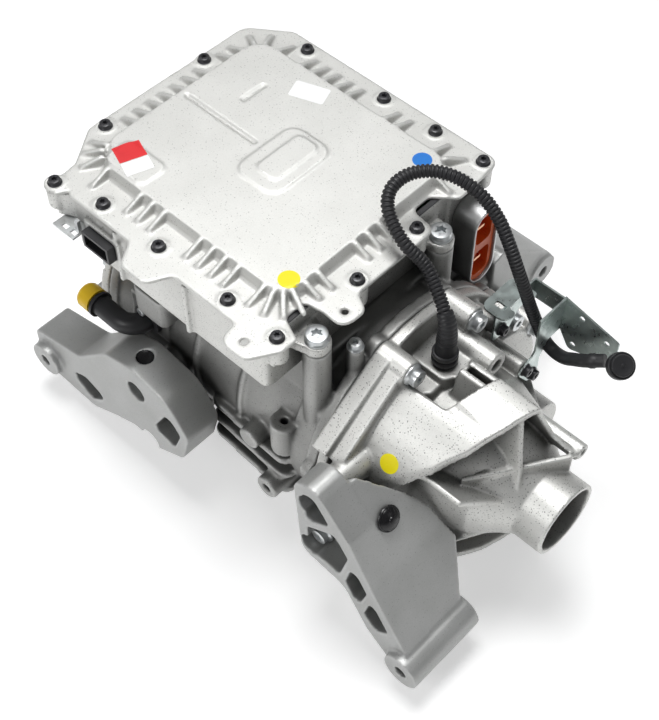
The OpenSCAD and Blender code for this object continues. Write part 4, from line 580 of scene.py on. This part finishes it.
# %% Cast edges
def soften(node, voxel, passes, slot, smooth=0.5):
    source = nodes[node]
    mesh = source.data.copy()
    rough = bmesh.new()
    rough.from_mesh(mesh)
    bmesh.ops.remove_doubles(rough, verts=rough.verts, dist=1e-6)
    rough.to_mesh(mesh)
    rough.free()
    work = bpy.data.objects.new(node + "_cast", mesh)
    scene.collection.objects.link(work)
    remesh = work.modifiers.new("voxels", "REMESH")
    remesh.mode = "VOXEL"
    remesh.voxel_size = voxel
    remesh.adaptivity = 0.0
    relax = work.modifiers.new("relax", "SMOOTH")
    relax.factor = smooth
    relax.iterations = passes
    done = bpy.data.meshes.new_from_object(work.evaluated_get(bpy.context.evaluated_depsgraph_get()))
    bpy.data.objects.remove(work)
    done.name = node + "_cast"
    return piece(node + "_cast", done, slot, [node], finish=finish_of[node], smooth_angle=None)


coarse = 1.0
castings = {}
for node, voxel, passes in (
        ("inverter_cover", 0.0013, 4), ("gearbox_cover", 0.0014, 5), ("motor_housing", 0.0018, 4),
        ("motor_end_cover", 0.0018, 4), ("inverter_housing", 0.0016, 4), ("left_mount_bracket", 0.0014, 6),
        ("right_mount_bracket", 0.0014, 6), ("rear_mount_bracket", 0.0016, 5),
        ("hv_connector_shell", 0.001, 3)):
    castings[node] = soften(node, voxel * coarse, passes, slot_of[node])
    print(node, len(castings[node].data.vertices), "points")

# %% [markdown]
# ## Bolts with a six-lobed recess
# A screw head is turned, then the recess is struck into it. Rings of points from the middle of the
# recess outwards give both: the rings of the recess wave six times round, the others are round.


# %% Bolts
lobe_depth = 0.3


def lobed(radius, angle):
    """Radius of a six-lobed recess at an angle."""
    wave = math.cos(6 * angle)
    return radius * (1 - lobe_depth * (0.5 - 0.5 * wave) ** 0.7)


def bolt_points(head, flange, height, shank, length, recess, sides=48):
    """Rings of a flange bolt along +Z, its seat at 0, as [radius, z, lobed]."""
    skirt = height * 0.32
    rings = [
        (recess * 0.25, height * 0.42, True), (recess * 0.9, height * 0.42, True),
        (recess * 0.97, height * 0.46, True), (recess, height - 0.0003, True), (recess * 1.06, height, True),
        (head - 0.0008, height, False), (head - 0.0002, height - 0.0003, False), (head, height - 0.001, False),
        (head * 1.01, skirt + 0.0006, False), (head * 1.06, skirt + 0.0001, False),
        (flange - 0.0006, skirt * 0.75, False), (flange - 0.0001, skirt * 0.55, False),
        (flange, skirt * 0.2, False), (flange - 0.0003, 0.0, False), (shank, 0.0, False),
        (shank, -length + 0.001, False), (shank - 0.001, -length, False)]
    points = [Vector((0, 0, height * 0.4))]
    for radius, z, wavy in rings:
        for k in range(sides):
            a = 2 * math.pi * k / sides
            r = lobed(radius, a) if wavy else radius
            points.append(Vector((r * math.cos(a), r * math.sin(a), z)))
    faces = [(0, 1 + (k + 1) % sides, 1 + k)[::-1] for k in range(sides)]
    for i in range(len(rings) - 1):
        for k in range(sides):
            a, b = 1 + i * sides + k, 1 + i * sides + (k + 1) % sides
            faces.append((a, a + sides, b + sides, b))
    base = 1 + (len(rings) - 1) * sides
    faces.append(tuple(range(base + sides - 1, base - 1, -1)))
    return points, faces


def islands(node):
    """Boxes of the separate solids of a node."""
    work = bmesh.new()
    work.from_mesh(nodes[node].data)
    bmesh.ops.remove_doubles(work, verts=work.verts, dist=1e-6)
    left = set(work.verts)
    boxes = []
    while left:
        stack = [left.pop()]
        seen = list(stack)
        while stack:
            for edge in stack.pop().link_edges:
                for v in edge.verts:
                    if v in left:
                        left.remove(v)
                        stack.append(v)
                        seen.append(v)
        spots = np.array([v.co[:] for v in seen])
        boxes.append((spots.min(0), spots.max(0)))
    work.free()
    return sorted(boxes, key=lambda b: tuple(b[0]))


turn_step = 0.7


def bolts(node, head, flange, height, shank, recess, slot, outward):
    """One detailed bolt for each solid of a node; outward(centre) is the way its head points."""
    points, faces = [], []
    for number, (low, high) in enumerate(islands(node)):
        way = Vector(outward((low + high) / 2))
        centre = Vector((low + high) / 2)
        half = abs(way.dot(Vector(high - low))) / 2
        top = centre + way * half
        local, local_faces = bolt_points(head, flange, height, shank, 2 * half - height, recess)
        turn = way.to_track_quat("Z", "Y").to_matrix() @ Matrix.Rotation(turn_step * number, 3, "Z")
        seat = top - way * height
        start = len(points)
        points += [seat + turn @ p for p in local]
        faces += [tuple(start + i for i in f) for f in local_faces]
    name = node + "_detailed"
    return piece(name, mesh_from(name, points, faces), slot, [node], smooth_angle=40)


up = lambda centre: (0, 0, 1)
right = lambda centre: (1, 0, 0)
left = lambda centre: (-1, 0, 0)
front_or_back = lambda centre: (0, -1, 0) if centre[1] < 0 else (0, 1, 0)
# The numbers are head radius, flange radius, head height, shank radius and recess radius.
for made in (
        bolts("cover_screws", 0.0056, 0.007, 0.005, 0.003, 0.0028, "black_steel", up),
        bolts("inverter_bolts", 0.0102, 0.011, 0.009, 0.005, 0.0052, "zinc_steel", up),
        bolts("ground_bolt", 0.006, 0.008, 0.007, 0.003, 0.0031, "zinc_steel", up),
        bolts("gearbox_bolts", 0.0086, 0.011, 0.01, 0.005, 0.0044, "zinc_steel", right),
        bolts("hose_bracket_screws", 0.0056, 0.007, 0.006, 0.003, 0.003, "black_steel", right),
        bolts("bracket_bolts", 0.0082, 0.011, 0.009, 0.005, 0.0042, "zinc_steel", front_or_back),
        bolts("coolant_elbow_screw", 0.0048, 0.006, 0.006, 0.003, 0.0025, "zinc_steel", front_or_back),
        bolts("end_cover_bolts", 0.0062, 0.008, 0.007, 0.003, 0.0032, "zinc_steel", left)):
    print(made.name, len(made.data.vertices), "points")

# %% [markdown]
# ## Turned pieces
# The breather's fitting, its cap and the plugs are bodies of revolution. A profile of radius and height
# is spun round an axis. A screw modifier could do the same; plain rings keep the mesh closed and short.
# Above the fitting a ribbed rubber sleeve grips the first centimetres of the hose.


# %% Turned pieces
def turned(name, profile, place, way, sides=48):
    """A profile of (radius, height) in millimetres, spun round an axis through a place in millimetres."""
    turn = Vector(way).to_track_quat("Z", "Y").to_matrix()
    points = []
    for radius, height in profile:
        for k in range(sides):
            a = 2 * math.pi * k / sides
            spot = Vector((radius * math.cos(a), radius * math.sin(a), height))
            points.append((Vector(place) + turn @ spot) / 1000)
    return mesh_from(name, points, tube_faces(len(profile), sides))


def merged(name, *meshes):
    work = bmesh.new()
    for mesh in meshes:
        work.from_mesh(mesh)
    done = bpy.data.meshes.new(name)
    work.to_mesh(done)
    work.free()
    return done


fitting_profile = [
    (8, -16), (8, 0), (10.4, 0), (10.4, 4.6), (12.2, 5.2), (12.5, 5.8), (12.5, 9.6), (12.0, 10.4),
    (11.0, 10.6), (11.0, 11.8), (12.1, 12.2), (12.3, 12.8), (12.3, 16.2), (11.7, 17.0), (10.2, 17.2),
    (9.9, 24), (9.6, 31)]
sleeve_rings = 70
sleeve_radius = 0.0096
sleeve_taper = 0.0022
rib_height = 0.00035
sleeve_path = hose_path[:sleeve_rings]
sleeve_radii = [sleeve_radius - sleeve_taper * i / (sleeve_rings - 1) + (rib_height if i % 7 < 4 else 0.0)
                for i in range(sleeve_rings)]
fitting = piece("breather_fitting_detailed", merged(
    "breather_fitting_detailed", turned("fitting", fitting_profile, (-158, 3, 96), (0, 0, 1)),
    sweep("sleeve", sleeve_path, sleeve_radii, 36)), "black_plastic", ["breather_fitting"])

cap_profile = [
    (11.4, -4), (12.5, -3.7), (13, -3), (13, 4.4), (12.8, 5.2), (12.2, 5.7), (11.5, 5.7), (11.2, 5.3),
    (10.9, 5.3), (10.7, 5.8), (10.5, 8.0), (10.1, 8.6), (9.3, 8.8), (8.6, 8.6), (2.0, 8.6), (1.6, 9.1),
    (0.5, 9.3)]
cap_mesh = turned("breather_cap_detailed", cap_profile, (-38, 108, 97), (0.428, -0.359, 0.829))
cap = piece("breather_cap_detailed", cap_mesh, "black_plastic", ["breather_cap"])

right_plug = [
    (8.9, -6), (8.9, 0.2), (12.6, 0.4), (13.0, 1.0), (12.7, 2.0), (11.6, 2.9), (11.2, 2.8), (10.6, 3.6),
    (8.6, 5.2), (6.0, 6.3), (4.4, 6.7), (3.9, 7.5), (2.4, 7.9), (0.5, 8.0)]
left_plug = [
    (8.9, 0), (8.9, 11.6), (10.6, 12), (10.8, 12.6), (10.4, 13.4), (9.4, 13.8), (8.0, 13.2), (5.0, 12.7),
    (0.5, 12.5)]
glossy_plug = moulded_finish(
    "glossy_plug", (0.006, 0.006, 0.007), (0.009, 0.009, 0.01), (0.2, 0.3), specular=0.35)
plug_mesh = merged(
    "bracket_plugs_detailed", turned("right_plug", right_plug, (-108, -126, 34), (0.866, 0, 0.5)),
    turned("left_plug", left_plug, (-403, -151.5, 13), (0, 0, 1)))
plugs = piece("bracket_plugs_detailed", plug_mesh, slot_of["bracket_plugs"], ["bracket_plugs"],
              finish=glossy_plug)
print("turned:", [o.name for o in (fitting, cap, plugs)])

# %% [markdown]
# ## Plain stickers
# Inspection dots and blank labels are thin films that follow the cast surface. Each one is a fan of
# points dropped onto the casting along one direction, with a second layer just under the skin so that
# the film is a closed solid. A decal texture would need a picture; this needs only a colour.


# %% Plain stickers
drop_height = 0.02
film_top = 0.00022
film_base = 0.0003


def film(name, casting, centre, way, across, half_a, half_b, finish, is_round, rings=8, sides=64):
    """A sticker on a casting, its centre and half sizes (along across and square to it) in millimetres."""
    mesh = castings[casting].data
    surface = BVHTree.FromPolygons([v.co[:] for v in mesh.vertices], [p.vertices[:] for p in mesh.polygons])
    way = Vector(way).normalized()
    u = Vector(across)
    u = (u - way * u.dot(way)).normalized()
    v = way.cross(u)
    top, base = [], []
    for i in range(rings + 1):
        for k in range(sides if i else 1):
            a = 2 * math.pi * k / sides
            c, d = math.cos(a), math.sin(a)
            reach = half_a if is_round else min(half_a / max(abs(c), 1e-6), half_b / max(abs(d), 1e-6))
            spot = (Vector(centre) + (u * c + v * d) * reach * i / rings) / 1000
            hit = surface.ray_cast(spot + way * drop_height, -way)[0] or spot
            top.append(hit + way * film_top)
            base.append(hit - way * film_base)
    faces = [(0, 1 + k, 1 + (k + 1) % sides) for k in range(sides)]
    for i in range(rings - 1):
        for k in range(sides):
            a, b = 1 + i * sides + k, 1 + i * sides + (k + 1) % sides
            faces.append((a, a + sides, b + sides, b))
    count = len(top)
    faces += [tuple(count + j for j in reversed(f)) for f in faces]
    edge = 1 + (rings - 1) * sides
    for k in range(sides):
        a, b = edge + k, edge + (k + 1) % sides
        faces.append((a, count + a, count + b, b))
    return piece(name, mesh_from(name, top + base, faces), "yellow_plastic", finish=finish, smooth_angle=30)


film_yellow = moulded_finish("yellow_film", (0.9, 0.78, 0.0), (0.84, 0.7, 0.0), (0.35, 0.5))
film_blue = moulded_finish("blue_film", (0.02, 0.2, 0.62), (0.015, 0.16, 0.55), (0.35, 0.5))
film_white = moulded_finish("white_film", (0.86, 0.86, 0.86), (0.8, 0.8, 0.81), (0.45, 0.6))
film_red = moulded_finish("red_film", (0.7, 0.03, 0.035), (0.62, 0.02, 0.025), (0.4, 0.55))
upwards = (0, 0, 1)
along_axle = (1, 0, 0)
for made in (
        film("dot_on_cover", "inverter_cover", (-264, -87, 203), upwards, along_axle,
             9.8, 9.8, film_yellow, True),
        film("dot_at_edge", "inverter_cover", (-275, 98, 200), upwards, along_axle,
             9.2, 9.2, film_blue, True),
        film("dot_on_shelf", "gearbox_cover", (-134, -97, 63), (0.05, -0.84, 0.54), along_axle,
             9.5, 9.5, film_yellow, True),
        film("blank_label", "inverter_cover", (-412, 92, 203), upwards, (0.94, 0.34, 0),
             18, 11, film_white, False),
        film("red_label", "inverter_cover", (-476.5, -79, 203), upwards, (0.94, -0.35, 0),
             11.2, 13.5, film_red, False),
        film("white_label", "inverter_cover", (-457, -86.2, 203), upwards, (0.94, -0.35, 0),
             8.6, 13.5, film_white, False)):
    print(made.name, len(made.data.vertices), "points")
